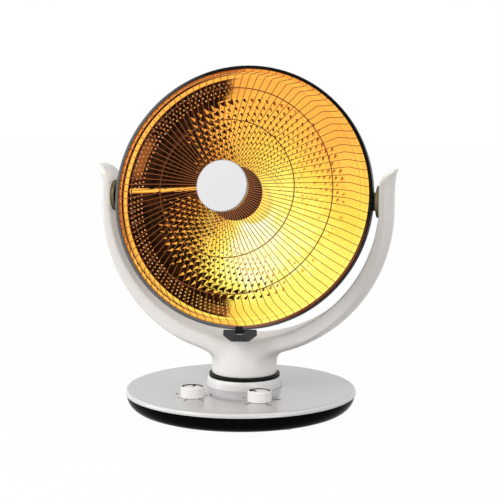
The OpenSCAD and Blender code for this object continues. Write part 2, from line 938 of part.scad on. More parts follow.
// Middle line of a guard wire in its own plane: [radius, distance ahead of the tilt axis]
function wire_line() = [
    [sheet_in_r - 1.2, wire_level],
    [opening_r - 2.4, wire_level],
    [shoulder_r, rim_front + shoulder_out],
    [outer_ring_r, rim_front + outer_ring_out],
    [inner_ring_r, rim_front + inner_ring_out],
    [hub_r + 2, wire_hub_level()],
    [hub_r - 2.2, wire_hub_level()]
];

// Level of the wire ends between the hub's cap and plate
function wire_hub_level() = rim_front + hub_out - hub_h - fit_gap - wire_d / 2;

function unit(v) = v / norm(v);
function left_of(v) = [-v[1], v[0]];

// A line of points moved sideways, with mitred corners
function beside(line, shift) = [for (i = [0:len(line) - 1])
    let (before = unit(line[i] - line[max(i - 1, 0)] + (i == 0 ? line[1] - line[0] : [0, 0])))
    let (after = i == len(line) - 1 ? before : unit(line[i + 1] - line[i]))
    let (mid = unit(left_of(before) + left_of(after)))
    line[i] + mid * shift / (mid * left_of(after))];

module guard_wires() {
    front_side = beside(wire_line(), -wire_d / 2);
    back_side = beside(wire_line(), wire_d / 2);
    outline = concat(back_side, [for (p = [len(front_side) - 1:-1:0]) front_side[p]]);
    color(rim_grey)
        head_place()
            for (i = [0:wires - 1])
                rotate([0, 0, 360 * (i + 0.5) / wires])
                    rotate([90, 0, 0])
                        translate([0, 0, -wire_d / 2])
                            linear_extrude(wire_d)
                                polygon(outline);
}

// A ring wire that lies behind the radial wires, at a point of their line
module ring_wire(place, behind) {
    rotate_extrude()
        translate(place - behind * (wire_d / 2 + ring_d / 2 + 0.05))
            circle(d = ring_d, $fn = 24);
}

module guard_rings() {
    line = wire_line();
    rim_dir = unit(line[2] - line[1]);
    rim_place = line[1] + rim_dir * 2;
    color(rim_grey)
        head_place() {
            ring_wire(rim_place, -left_of(rim_dir));
            ring_wire(line[3], -left_of(unit(line[4] - line[2])));
            ring_wire(line[4], -left_of(unit(line[5] - line[3])));
        }
}

module hub_cap() {
    face = rim_front + hub_out;
    color(pale)
        head_place()
            difference() {
                union() {
                    translate([0, 0, face - hub_h])
                        cylinder(r = hub_r, h = hub_h - 1);
                    translate([0, 0, face - 1])
                        cylinder(r1 = hub_r, r2 = hub_r - 1, h = 1);
                }
                translate([0, 0, face - hub_h - cut])
                    cylinder(r = screw_r + fit_gap, h = cut + hub_h - 1);
            }
}

module hub_plate() {
    color(black)
        head_place()
            translate([0, 0, wire_hub_level() - wire_d / 2 - fit_gap - 3])
                difference() {
                    union() {
                        cylinder(r = hub_r - 0.8, h = 3);
                        cylinder(r = hub_r - 5, h = 3 + wire_d + 2 * fit_gap);
                    }
                    translate([0, 0, -cut])
                        cylinder(r = screw_r + fit_gap, h = 8);
                }
}

module hub_screw() {
    plate_back = wire_hub_level() - wire_d / 2 - fit_gap - 3;
    color(steel)
        head_place()
            translate([0, 0, plate_back - screw_head_h])
                screw(screw_head_r, screw_head_h, screw_r, screw_head_h + 3 + wire_d + hub_h - 1.2);
}

// Level of the reflector's bright face at a radius
function dish_level(r) = dish_base + dish_depth * pow(r / dish_r, 2);

module reflector() {
    steps = 20;
    radii = [for (i = [0:steps]) dish_hole_r + (dish_r - dish_hole_r) * i / steps];
    face = [for (r = radii) [r, dish_level(r)]];
    back = [for (i = [steps:-1:0]) [radii[i], dish_level(radii[i]) - dish_t]];
    rim = [[sheet_in_r - 0.6, dish_rim], [sheet_in_r - 0.6, dish_rim - dish_t]];
    color(gold)
        head_place()
            rotate_extrude()
                polygon(concat(face, rim, back));
}

// Outer line of the rear housing: [radius, level], from the rim flange to the flat end
function housing_line() = concat(
    [[wall_r(), flange_level], [wall_r(), wall_end]],
    [for (i = [1:12])
        let (level = wall_end - (housing_back + wall_end) * sin(90 * i / 12))
        [housing_r(level), level]]);

module rear_housing() {
    line = housing_line();
    slot_r = housing_end_r + 16;
    slot_l = 26;
    slot_w = 2.8;
    slot_depth = 14;
    inner = [for (i = [len(line) - 1:-1:0])
        [max(line[i][0] - housing_t, cap_r - 3), line[i][1] + (i > 1 ? housing_t : 0)]];
    color(black)
        head_place()
            difference() {
                union() {
                    rotate_extrude()
                        polygon(concat(line, [[cap_r - 3, -housing_back]],
                            [[cap_r - 3, -housing_back + housing_t]], inner));
                    translate([0, 0, flange_level - flange_t])
                        difference() {
                            cylinder(r = sheet_in_r - 0.6, h = flange_t);
                            translate([0, 0, -cut])
                                cylinder(r = wall_r() - housing_t, h = flange_t + 2 * cut);
                        }
                }
                for (i = [0:23])
                    rotate([0, 0, 15 * i + 7.5])
                        translate([slot_r, -slot_w / 2, -housing_back - cut])
                            cube([slot_l, slot_w, slot_depth + cut]);
                translate([-rim_r, 0, 0])
                    rotate([0, 90, 0])
                        cylinder(r = bolt_r + run_gap, h = 2 * rim_r);
                for (i = [0:3])
                    rotate([0, 0, 90 * i])
                        translate([cap_r + 4, 0, -housing_back - cut])
                            cylinder(r = screw_r + fit_gap, h = housing_t + 2 * cut);
            }
}

// Half length of a slot in the rear cap, by its sideways place
function slot_half(x) = sqrt(pow(cap_r - 12, 2) - x * x);

module rear_cap() {
    color(black)
        head_place()
            difference() {
                union() {
                    translate([0, 0, cap_back])
                        cylinder(r = cap_r - 4, h = cap_depth - housing_t);
                    translate([0, 0, -housing_back - housing_t])
                        cylinder(r = cap_r + 8, h = housing_t);
                }
                translate([0, 0, cap_back + 1.6])
                    cylinder(r = cap_r - 5.6, h = cap_depth);
                for (x = [-32:8:32])
                    translate([x - 1.5, -slot_half(x), cap_back - cut])
                        cube([3, 2 * slot_half(x), 4]);
                for (i = [0:3])
                    rotate([0, 0, 90 * i])
                        translate([cap_r + 4, 0, -housing_back - housing_t - cut])
                            cylinder(r = screw_r + fit_gap, h = housing_t + 2 * cut);
            }
}

module housing_screws() {
    color(steel)
        head_place()
            for (i = [0:3])
                rotate([0, 0, 90 * i])
                    translate([cap_r + 4, 0, -housing_back - housing_t - screw_head_h])
                        screw(screw_head_r, screw_head_h, screw_r, screw_head_h + 2 * housing_t + 3);
}

// Heating element

module element_core() {
    ribs = 6;
    rib_t = 3;
    rib_r = coil_r - coil_d / 2 - 0.25;
    color(ceramic)
        head_place()
            difference() {
                union() {
                    translate([0, 0, core_back])
                        cylinder(r = dish_hole_r - face_gap, h = flange_z - core_back + 1);
                    translate([0, 0, flange_z])
                        cylinder(r = flange_r, h = flange_h);
                    translate([0, 0, core_back])
                        cylinder(r = core_r, h = core_front - core_back);
                    translate([0, 0, core_front - flange_h])
                        cylinder(r = flange_r, h = flange_h);
                    for (i = [0:ribs - 1])
                        rotate([0, 0, 360 * i / ribs])
                            translate([0, -rib_t / 2, flange_z + 1])
                                cube([rib_r, rib_t, core_front - flange_z - 2]);
                }
                translate([0, 0, core_back - cut])
                    cylinder(r = rod_r + fit_gap, h = core_front - core_back + 2 * cut);
            }
}

// Heater wire: an open helix whose ends turn forward and back into the end discs
coil_sides = 6;
coil_ring_steps = 24;
coil_start = flange_z + flange_h + fit_gap;
coil_end = core_front - flange_h - fit_gap;
coil_lead = coil_d * 1.6;
coil_pitch = (coil_end - coil_start - 2 * coil_lead) / coil_turns;

function coil_point(turn) =
    [coil_r * cos(360 * turn), coil_r * sin(360 * turn), coil_start + coil_lead + coil_pitch * turn];

// A point beside the first or last turn, by its angle
function coil_lead_point(angle, level) = [coil_r * cos(angle), coil_r * sin(angle), level];

// The tube's route: a straight end, a short bend, the turns, a short bend and a straight end
function coil_route() =
    let (bend = coil_d * 0.35)
    concat(
        [for (level = [coil_start, coil_start + coil_d]) coil_lead_point(-7, level)],
        [coil_lead_point(-5.5, coil_start + coil_d + bend)],
        [for (i = [0:coil_turns * coil_ring_steps]) coil_point(i / coil_ring_steps)],
        [coil_lead_point(5.5, coil_end - coil_d - bend)],
        [for (level = [coil_end - coil_d, coil_end]) coil_lead_point(7, level)]);

// Direction of the route at one of its points
function route_dir(route, i) = i < 2 ? [0, 0, 1]
    : i > len(route) - 3 ? [0, 0, 1]
    : unit(route[i + 1] - route[i - 1]);

function ring_round(route, i) =
    let (dir = route_dir(route, i))
    let (away = unit([route[i][0], route[i][1], 0]))
    let (side = unit(cross(dir, away)))
    let (out = cross(side, dir))
    [for (k = [0:coil_sides - 1])
        route[i] + coil_d / 2 * (cos(360 * k / coil_sides) * out + sin(360 * k / coil_sides) * side)];

module heater_coil() {
    route = coil_route();
    rings = len(route);
    last = (rings - 1) * coil_sides;
    sides = [for (i = [0:rings - 2])
        for (k = [0:coil_sides - 1])
            for (half = [0, 1])
                let (a = i * coil_sides + k, b = i * coil_sides + (k + 1) % coil_sides)
                half == 0 ? [a, a + coil_sides, b] : [b, a + coil_sides, b + coil_sides]];
    start = [for (k = [1:coil_sides - 2]) [0, k, k + 1]];
    end = [for (k = [1:coil_sides - 2]) [last, last + k + 1, last + k]];
    color([1, 0.45, 0.1])
        head_place()
            polyhedron(points = [for (i = [0:rings - 1]) each ring_round(route, i)],
                       faces = concat(start, sides, end));
}

// The least gap of the heater wire to itself, from its points a turn apart
turn_points = [for (i = [0:2:coil_ring_steps * coil_turns]) coil_point(i / coil_ring_steps)];
coil_gap = min([for (i = [0:len(turn_points) - 1])
    for (j = [i + 8:len(turn_points) - 1])
        norm(turn_points[i] - turn_points[j])]) - coil_d;
echo(least_gap_of_heater_wire = coil_gap);

module front_shield() {
    color([0.16, 0.1, 0.07])
        head_place()
            translate([0, 0, shield_level - shield_t])
                difference() {
                    union() {
                        cylinder(r1 = shield_r - 1, r2 = shield_r, h = 1);
                        translate([0, 0, 1])
                            cylinder(r = shield_r, h = shield_t - 1);
                    }
                    translate([0, 0, -cut])
                        cylinder(r = rod_r + fit_gap, h = shield_t + 2 * cut);
                }
}

module element_rod() {
    color(steel)
        head_place()
            translate([0, 0, plate_level - plate_t - rod_end])
                cylinder(r = rod_r, h = shield_level - plate_level + plate_t + 2 * rod_end);
}

module rod_nuts() {
    color(steel)
        head_place()
            for (level = [shield_level + fit_gap, plate_level - plate_t - fit_gap - rod_nut_h])
                translate([0, 0, level])
                    difference() {
                        cylinder(r = rod_nut_r, h = rod_nut_h, $fn = 6);
                        translate([0, 0, -cut])
                            cylinder(r = rod_r + tight, h = rod_nut_h + 2 * cut);
                    }
}

module element_plate() {
    plate_r = 30;
    plate_l = 80;
    plate_w = 16;
    color(steel)
        head_place()
            translate([0, 0, plate_level - plate_t])
                difference() {
                    union() {
                        cylinder(r = plate_r, h = plate_t);
                        translate([-plate_l / 2, -plate_w / 2, 0])
                            cube([plate_l, plate_w, plate_t]);
                    }
                    translate([0, 0, -cut])
                        cylinder(r = rod_r + fit_gap, h = plate_t + 2 * cut);
                }
}

module terminal_block() {
    block = [16, 14, 10];
    color([0.88, 0.86, 0.8])
        head_place()
            translate([-28, 0, plate_level - plate_t - fit_gap - block[2]])
                difference() {
                    translate([-block[0] / 2, -block[1] / 2, 0])
                        cube(block);
                    for (y = [-block[1] / 4, block[1] / 4])
                        translate([0, y, -cut])
                            cylinder(r = 2, h = cut + 5);
                }
}

module thermal_cutout() {
    color([0.2, 0.18, 0.16])
        head_place()
            translate([29, 0, plate_level - plate_t - fit_gap - 7]) {
                cylinder(r = 7.5, h = 7);
                translate([-1.5, -12, 1])
                    cube([3, 24, 1]);
            }
}

// Latch near the lowest point of the rim

latch_barrel_r = latch_t / 2;
latch_y = -(rim_r + latch_barrel_r + face_gap);
latch_level = (rim_front + rim_back) / 2 + 2.5;

module latch_place() {
    head_place()
        rotate([0, 0, latch_turn])
            children();
}

module latch_clip() {
    chamfer_y = latch_y - latch_h * 0.38;
    slot_w = lug_w + 2 * face_gap;
    color([0.16, 0.16, 0.16])
        latch_place()
            difference() {
                union() {
                    translate([-latch_w / 2, latch_y, latch_level])
                        rotate([0, 90, 0])
                            cylinder(r = latch_barrel_r, h = latch_w);
                    translate([0, 0, latch_level - latch_t / 2])
                        linear_extrude(latch_t)
                            polygon([
                                [-latch_w / 2, latch_y], [latch_w / 2, latch_y], [latch_w / 2, chamfer_y],
                                [latch_end_w / 2, latch_y - latch_h],
                                [-latch_end_w / 2, latch_y - latch_h], [-latch_w / 2, chamfer_y]]);
                }
                translate([-slot_w / 2, latch_y - latch_barrel_r - face_gap, latch_level - latch_t])
                    cube([slot_w, latch_t + 2, 2 * latch_t]);
                translate([-latch_w, latch_y, latch_level])
                    rotate([0, 90, 0])
                        cylinder(r = latch_pin_r + run_gap, h = 2 * latch_w);
                for (i = [-1:1])
                    translate([i * 5.7 - 0.5, latch_y - latch_h - cut, latch_level + latch_t / 2 - 0.8])
                        cube([1, latch_h * 0.5 + cut, 0.8 + cut]);
            }
}

module latch_pin() {
    color(steel)
        latch_place()
            translate([-latch_w / 2 + 1, latch_y, latch_level])
                rotate([0, 90, 0])
                    cylinder(r = latch_pin_r, h = latch_w - 2);
}

// Bright lug: it hooks over the rim's corner and carries the latch pin
module latch_lug() {
    lug_top = -(rim_r - 2.8);
    lug_t = 1.2;
    color(steel)
        latch_place()
            difference() {
                union() {
                    translate([-lug_w / 2, -rim_r - face_gap, rim_front + fit_gap])
                        cube([lug_w, rim_r + face_gap + lug_top, lug_t]);
                    translate([-lug_w / 2, latch_y, latch_level - lug_t])
                        cube([lug_w, latch_barrel_r, rim_front + fit_gap + 2 * lug_t - latch_level]);
                    translate([-lug_w / 2, latch_y, latch_level])
                        rotate([0, 90, 0])
                            cylinder(r = latch_barrel_r - 0.2, h = lug_w);
                }
                translate([-lug_w, latch_y, latch_level])
                    rotate([0, 90, 0])
                        cylinder(r = latch_pin_r + tight, h = 2 * lug_w);
            }
}

base_bottom();
base_top();
rubber_feet();
case_screws();
weight_ring();
collar();
neck_ring();
swing_bush();
gear_motor();
rotary_switch();
timer();
tip_switch();
cord_inlet();
tip_plunger();
knob_left();
knob_left_ring();
knob_left_shaft();
knob_right();
knob_right_ring();
knob_right_shaft();
crank();
crank_shaft();
fork();
swing_post();
post_washer();
post_nut();
swing_lever();
pivot_bolts();
friction_discs();
pivot_nuts();
pivot_bosses();
rim_band();
guard_wires();
guard_rings();
hub_cap();
hub_plate();
hub_screw();
reflector();
rear_housing();
rear_cap();
element_core();
heater_coil();
front_shield();
element_rod();
rod_nuts();
element_plate();
terminal_block();
thermal_cutout();
housing_screws();
latch_lug();
latch_pin();
latch_clip();
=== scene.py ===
import math

import bpy
import numpy as np
from mathutils import Matrix, Vector


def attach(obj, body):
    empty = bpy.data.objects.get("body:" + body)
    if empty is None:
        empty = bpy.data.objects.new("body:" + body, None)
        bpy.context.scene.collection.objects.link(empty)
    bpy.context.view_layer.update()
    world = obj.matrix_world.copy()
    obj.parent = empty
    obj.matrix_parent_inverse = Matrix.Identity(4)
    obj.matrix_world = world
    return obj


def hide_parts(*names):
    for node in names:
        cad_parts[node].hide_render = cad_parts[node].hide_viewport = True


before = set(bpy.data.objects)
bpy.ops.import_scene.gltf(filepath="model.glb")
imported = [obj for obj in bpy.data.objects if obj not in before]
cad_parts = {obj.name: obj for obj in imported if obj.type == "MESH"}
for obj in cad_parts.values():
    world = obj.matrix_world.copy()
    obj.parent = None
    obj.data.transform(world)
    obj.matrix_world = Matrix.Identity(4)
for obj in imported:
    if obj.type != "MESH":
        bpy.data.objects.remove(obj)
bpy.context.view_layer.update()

# Carbon dish heater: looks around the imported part. Lengths in the dictionaries are millimetres.
mm = 0.001
scene = bpy.context.scene
scene.view_settings.view_transform = "Standard"

headPose = {"pivotY": 16.5, "pivotZ": 241.5, "tilt": 12.8}
headTilt = math.radians(headPose["tilt"])
headMiddle = Vector((0, headPose["pivotY"], headPose["pivotZ"])) * mm
headAhead = (0, -math.cos(headTilt), math.sin(headTilt))
headUp = (0, math.sin(headTilt), math.cos(headTilt))
headMatrix = (Matrix.Translation(headMiddle) @ Matrix.Rotation(math.radians(90 - headPose["tilt"]), 4, "X")
              @ Matrix.Scale(mm, 4))
baseMatrix = Matrix.Scale(mm, 4)


# Camera at the photograph's place
camera = {"place": (408.4, -1497.1, 381.1), "aim": (5.72, 18.02, 182.2), "lens": 99.4, "sensor": 36,
          "roll": 0.17, "near": 50, "far": 50000}
cameraData = bpy.data.cameras.new("camera")
cameraObject = bpy.data.objects.new("camera", cameraData)
scene.collection.objects.link(cameraObject)
cameraData.lens = camera["lens"]
cameraData.sensor_width = camera["sensor"]
cameraData.clip_start, cameraData.clip_end = camera["near"] * mm, camera["far"] * mm
cameraObject.location = Vector(camera["place"]) * mm
lookDirection = Vector(camera["aim"]) - Vector(camera["place"])
cameraObject.rotation_euler = (lookDirection.to_track_quat("-Z", "Y").to_matrix()
                               @ Matrix.Rotation(math.radians(camera["roll"]), 3, "Z")).to_euler()
scene.camera = cameraObject
print("camera set")


# Meshes

def addPiece(name, points, faces, matrix, body, material, replaced=(), smooth=True):
    mesh = bpy.data.meshes.new(name)
    mesh.from_pydata([tuple(p) for p in points], [], faces)
    mesh.transform(matrix)
    mesh.validate()
    piece = bpy.data.objects.new(name, mesh)
    scene.collection.objects.link(piece)
    mesh.materials.append(material)
    mesh.shade_smooth() if smooth else mesh.shade_flat()
    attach(piece, body)
    if replaced:
        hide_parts(*replaced)
    return piece


def applyModifiers(piece):  # the finished shape becomes the piece's own mesh
    held = bpy.context.evaluated_depsgraph_get()
    made = bpy.data.meshes.new_from_object(piece.evaluated_get(held), preserve_all_data_layers=True,
                                           depsgraph=held)
    piece.modifiers.clear()
    piece.data = made


def quadsBetween(rows, rowCount, size, count):  # rows of size points, rowCount rows of count quads
    return [(i * size + j, (i + 1) % rows * size + j, (i + 1) % rows * size + (j + 1) % size,
             i * size + (j + 1) % size) for i in range(rowCount) for j in range(count)]


def revolve(profile, steps, closed=False):  # profile of (radius, height) turned about Z
    points = [(r * math.cos(a), r * math.sin(a), z)
              for a in (2 * math.pi * i / steps for i in range(steps)) for r, z in profile]
    size = len(profile)
    return points, quadsBetween(steps, steps, size, size if closed else size - 1)


def tube(line, radius, sides=8, loop=False):  # a round tube along a line of points
    line = [Vector(p) for p in line]
    count = len(line)
    points = []
    side = None
    for i, p in enumerate(line):
        before = line[i - 1] if i or loop else p
        after = line[(i + 1) % count] if i < count - 1 or loop else p
        ahead = (after - before).normalized()
        if side is None:
            side = ahead.orthogonal().normalized()
        side = (side - ahead * side.dot(ahead)).normalized()
        other = ahead.cross(side)
        for k in range(sides):
            a = 2 * math.pi * k / sides
            points.append(p + radius * (math.cos(a) * side + math.sin(a) * other))
    faces = []
    for i in range(count if loop else count - 1):
        for k in range(sides):
            a, b = i * sides, ((i + 1) % count) * sides
            faces.append((a + k, a + (k + 1) % sides, b + (k + 1) % sides, b + k))
    if not loop:
        faces.append(tuple(range(sides))[::-1])
        faces.append(tuple((count - 1) * sides + k for k in range(sides)))
    return points, faces


def joined(parts):  # several (points, faces) as one
    points, faces = [], []
    for somePoints, someFaces in parts:
        start = len(points)
        points += list(somePoints)
        faces += [tuple(start + i for i in f) for f in someFaces]
    return points, faces


def rounded(line, radius, steps=4):  # a line whose inner corners are rounded
    line = [Vector(p) for p in line]
    made = [line[0]]
    for before, corner, after in zip(line, line[1:], line[2:]):
        a, b = (corner + way.normalized() * min(radius, way.length / 2)
                for way in (before - corner, after - corner))
        for i in range(steps + 1):
            t = i / steps
            made.append(a * (1 - t) ** 2 + corner * 2 * t * (1 - t) + b * t ** 2)
    return made + [line[-1]]


def ease(low, high, x):  # 0 at low and 1 at high, also where low is the greater
    t = min(1.0, max(0.0, (x - low) / (high - low)))
    return t * t * (3 - 2 * t)


# Materials

def feed(tree, node, inputs):  # a texture is linked and a plain number or colour is set
    for key, value in inputs.items():
        if isinstance(value, bpy.types.NodeSocket):
            tree.links.new(value, node.inputs[key])
        else:
            node.inputs[key].default_value = value


def addNode(tree, kind, inputs=None, **settings):
    made = tree.nodes.new(kind)
    for key, value in settings.items():
        setattr(made, key, value)
    feed(tree, made, inputs or {})
    return made


def newGroup(name, inputs, outputs):  # inputs with their values, outputs with their kinds
    group = bpy.data.node_groups.new(name, "ShaderNodeTree")
    for label, value in inputs.items():
        kind = "NodeSocketColor" if isinstance(value, tuple) else "NodeSocketFloat"
        group.interface.new_socket(label, in_out="INPUT", socket_type=kind).default_value = value
    for label, kind in outputs.items():
        group.interface.new_socket(label, in_out="OUTPUT", socket_type="NodeSocket" + kind)
    return group, group.nodes.new("NodeGroupInput").outputs, group.nodes.new("NodeGroupOutput").inputs


def mathNode(tree, operation, a, b=0.0, c=0.0):
    return addNode(tree, "ShaderNodeMath", {0: a, 1: b, 2: c}, operation=operation).outputs[0]


def vectorNode(tree, operation, a, b=(0, 0, 0)):
    made = addNode(tree, "ShaderNodeVectorMath", {0: a, 1: b}, operation=operation)
    return made.outputs["Value" if operation in ("DOT_PRODUCT", "LENGTH") else "Vector"]


def mapRange(tree, value, low, high):  # 0 at low and 1 at high, also where low is the greater
    return addNode(tree, "ShaderNodeMapRange", {"Value": value, "From Min": low, "From Max": high}).outputs[0]


def mixColor(tree, factor, a, b, blend="MIX"):
    made = addNode(tree, "ShaderNodeMix", {0: factor, 6: a, 7: b}, data_type="RGBA", blend_type=blend)
    return made.outputs[2]


def mixValue(tree, factor, a, b):
    return addNode(tree, "ShaderNodeMix", {0: factor, 2: a, 3: b}, data_type="FLOAT").outputs[0]


def colorRamp(tree, value, stops):
    ramp = addNode(tree, "ShaderNodeValToRGB", {"Fac": value})
    ends = ramp.color_ramp.elements
    ends[0].position, ends[0].color = stops[0]
    ends[1].position, ends[1].color = stops[-1]
    for position, color in stops[1:-1]:
        ends.new(position).color = color
    return ramp.outputs["Color"]


def onObject(tree, kind):  # kind is Object, the place on the object, or Normal
    return addNode(tree, "ShaderNodeTexCoord").outputs[kind]


def alongAxis(tree, vector, name):
    return addNode(tree, "ShaderNodeSeparateXYZ", {"Vector": vector}).outputs[name]


def noiseNode(tree, scale, detail, roughness=0.5):
    return addNode(tree, "ShaderNodeTexNoise", {"Vector": onObject(tree, "Object"), "Scale": scale,
                                                "Detail": detail, "Roughness": roughness}).outputs["Fac"]


def meshMarks(tree):  # the masks that a mesh carries as the Red, Green and Blue of its glow attribute
    marks = addNode(tree, "ShaderNodeAttribute", attribute_name="glow").outputs["Color"]
    return addNode(tree, "ShaderNodeSeparateColor", {"Color": marks}).outputs


def makeGrain():  # moulding grain and soft smudges
    group, given, out = newGroup("mouldedGrain", {"Scale": 900.0, "Smudge": 22.0},
                                 {"Height": "Float", "Smudge": "Float"})
    group.links.new(noiseNode(group, given["Scale"], 3.0), out["Height"])
    group.links.new(noiseNode(group, given["Smudge"], 4.0, 0.6), out["Smudge"])
    return group


def makeWear():  # a mask along the outer edges, broken up by noise
    group, given, out = newGroup("edgeWear", {"Amount": 0.5, "Scale": 160.0}, {"Mask": "Float"})
    edge = addNode(group, "ShaderNodeNewGeometry").outputs["Pointiness"]
    lifted = mathNode(group, "MULTIPLY_ADD", noiseNode(group, given["Scale"], 5.0), 0.12, edge)
    mask = mapRange(group, lifted, 0.585, 0.64)
    group.links.new(mathNode(group, "MULTIPLY", mask, given["Amount"]), out["Mask"])
    return group


def makeDust():  # a thin film of dust on what faces up
    group, given, out = newGroup("dustFilm", {"Amount": 0.2, "Scale": 60.0}, {"Mask": "Float"})
    facing = mapRange(group, alongAxis(group, onObject(group, "Normal"), "Z"), 0.3, 1.0)
    patch = mapRange(group, noiseNode(group, given["Scale"], 6.0), 0.4, 0.75)
    mask = mathNode(group, "MULTIPLY", mathNode(group, "MULTIPLY", facing, patch), given["Amount"])
    group.links.new(mask, out["Mask"])
    return group


def makeGlow():  # painted light of the element on what it shines on, and painted shade where it is unlit: Red is how far it is lit, Green how hot, Blue how pale
    group, given, out = newGroup("heatGlow", {"Dark": (0.005, 0.0018, 0.0006, 1),
                                              "Brown": (0.035, 0.009, 0.003, 1)},
                                 {"Light": "Color", "Lit": "Float"})
    marks = meshMarks(group)
    patch = mapRange(group, noiseNode(group, 45.0, 3.0), 0.5, 0.72)
    shade = mixColor(group, patch, given["Dark"], given["Brown"])
    heat = [(0.0, (0.52, 0.10, 0.025, 1)), (0.25, (0.94, 0.33, 0.055, 1)), (0.5, (1.0, 0.53, 0.08, 1)),
            (0.68, (1.0, 0.74, 0.09, 1)), (0.84, (1.0, 0.98, 0.2, 1)), (1.0, (1.0, 1.0, 0.72, 1))]
    glowing = mixColor(group, marks["Blue"], colorRamp(group, marks["Green"], heat), (1.0, 0.76, 0.46, 1))
    group.links.new(mixColor(group, marks["Red"], shade, glowing), out["Light"])
    group.links.new(marks["Red"], out["Lit"])
    return group


grainGroup, wearGroup, dustGroup, glowGroup = makeGrain(), makeWear(), makeDust(), makeGlow()


def useGroup(tree, group, inputs=None):
    return addNode(tree, "ShaderNodeGroup", inputs, node_tree=group).outputs


def newMaterial(name):
    material = bpy.data.materials.new(name)
    material.use_nodes = True
    return material, material.node_tree, material.node_tree.nodes["Principled BSDF"]


def addGrain(tree, shader, grain, smudge, bump, rough=None):  # returns the smudges, a mask for the colour
    surface = useGroup(tree, grainGroup, {"Scale": grain, "Smudge": smudge})
    if rough:
        feed(tree, shader, {"Roughness": mixValue(tree, surface["Smudge"], *rough)})
    raised = addNode(tree, "ShaderNodeBump", {"Strength": bump, "Distance": mm, "Height": surface["Height"]})
    feed(tree, shader, {"Normal": raised.outputs["Normal"]})
    return surface["Smudge"]


def paint(name, color, rough=0.4, metallic=0.0, spread=0.06, shade=0.06, grain=900.0, bump=0.02, wear=0.0,
          wearColor=(0.6, 0.6, 0.6, 1), dust=0.0, specular=0.5, smudge=22.0):
    material, tree, shader = newMaterial(name)
    smudges = addGrain(tree, shader, grain, smudge, bump, (max(0.02, rough - spread), rough + spread))
    darker, lighter = ((*(min(1.0, c * share) for c in color), 1) for share in (1 - shade, 1 + shade))
    tinted = mixColor(tree, smudges, darker, lighter)
    if wear:
        tinted = mixColor(tree, useGroup(tree, wearGroup, {"Amount": wear})["Mask"], tinted, wearColor)
    if dust:
        mask = useGroup(tree, dustGroup, {"Amount": dust})["Mask"]
        tinted = mixColor(tree, mask, tinted, (0.5, 0.48, 0.45, 1))
    feed(tree, shader, {"Base Color": tinted, "Metallic": metallic, "Specular IOR Level": specular})
    return material


offWhite = paint("offWhitePlastic", (0.80, 0.775, 0.745), rough=0.32, shade=0.015, spread=0.05, bump=0.03,
                 specular=0.35)
collarPaint = paint("collarPaint", (0.73, 0.715, 0.70), rough=0.28, shade=0.015, spread=0.05, bump=0.03,
                    specular=0.4)
blackShell = paint("blackShell", (0.003, 0.003, 0.003), rough=0.2, shade=0.2, bump=0.03, specular=0.01)
blackMatte = paint("blackMatte", (0.006, 0.006, 0.006), rough=0.5, bump=0.12, grain=1500, specular=0.1)
rubber = paint("blackRubber", (0.012, 0.012, 0.013), rough=0.8, bump=0.25, grain=700, dust=0.1, specular=0.2)
housingPaint = paint("housingPaint", (0.018, 0.018, 0.019), rough=0.42, bump=0.10, grain=1300, dust=0.06,
                     wear=0.2, wearColor=(0.15, 0.15, 0.15, 1))
zincSteel = paint("zincSteel", (0.62, 0.63, 0.65), rough=0.32, metallic=1.0, spread=0.1, shade=0.1, bump=0.06)
castWeight = paint("castWeight", (0.12, 0.12, 0.12), rough=0.6, metallic=0.6, bump=0.3, grain=500)
darkPlastic = paint("darkPlastic", (0.018, 0.018, 0.019), rough=0.45, bump=0.10, grain=1500, wear=0.15,
                    wearColor=(0.08, 0.08, 0.08, 1), specular=0.25)
motorCase = paint("motorCase", (0.55, 0.54, 0.5), rough=0.4, metallic=0.7, bump=0.06)
bearingPlastic = paint("bearingPlastic", (0.82, 0.82, 0.78), rough=0.45, bump=0.05)
redPlastic = paint("redPlastic", (0.6, 0.06, 0.03), rough=0.4, bump=0.05)
bronzeDisc = paint("bronzeDisc", (0.15, 0.12, 0.055), rough=0.5, metallic=0.5, spread=0.12, shade=0.25,
                   bump=0.12, smudge=120.0)
brownPlastic = paint("brownPlastic", (0.055, 0.042, 0.034), rough=0.42, bump=0.08, wear=0.2,
                     wearColor=(0.2, 0.16, 0.12, 1))
ceramic = paint("ceramic", (0.82, 0.74, 0.60), rough=0.7, bump=0.2, grain=600)
inkBlack = paint("inkBlack", (0.008, 0.008, 0.008), rough=0.6, shade=0.2, specular=0.1)


def makeTopPaint():  # grey gloss top whose wrapped lip is white
    material, tree, shader = newMaterial("greyGlossTop")
    look = {"grey": (0.43, 0.425, 0.42), "mottle": 0.97, "white": (0.64, 0.635, 0.63, 1), "lipStart": 129.2,
            "lipFull": 130.4, "dust": 0.05, "dustColor": (0.5, 0.49, 0.47, 1), "coat": 0.3}
    smudges = addGrain(tree, shader, 1200.0, 14.0, 0.015, (0.16, 0.24))
    reach = vectorNode(tree, "LENGTH", vectorNode(tree, "MULTIPLY", onObject(tree, "Object"), (1, 1, 0)))
    lip = mapRange(tree, reach, look["lipStart"] * mm, look["lipFull"] * mm)
    mottled = mixColor(tree, smudges, (*(c * look["mottle"] for c in look["grey"]), 1), (*look["grey"], 1))
    mask = useGroup(tree, dustGroup, {"Amount": look["dust"]})["Mask"]
    dusty = mixColor(tree, mask, mottled, look["dustColor"])
    feed(tree, shader, {"Base Color": mixColor(tree, lip, dusty, look["white"]),
                        "Coat Weight": look["coat"]})
    return material


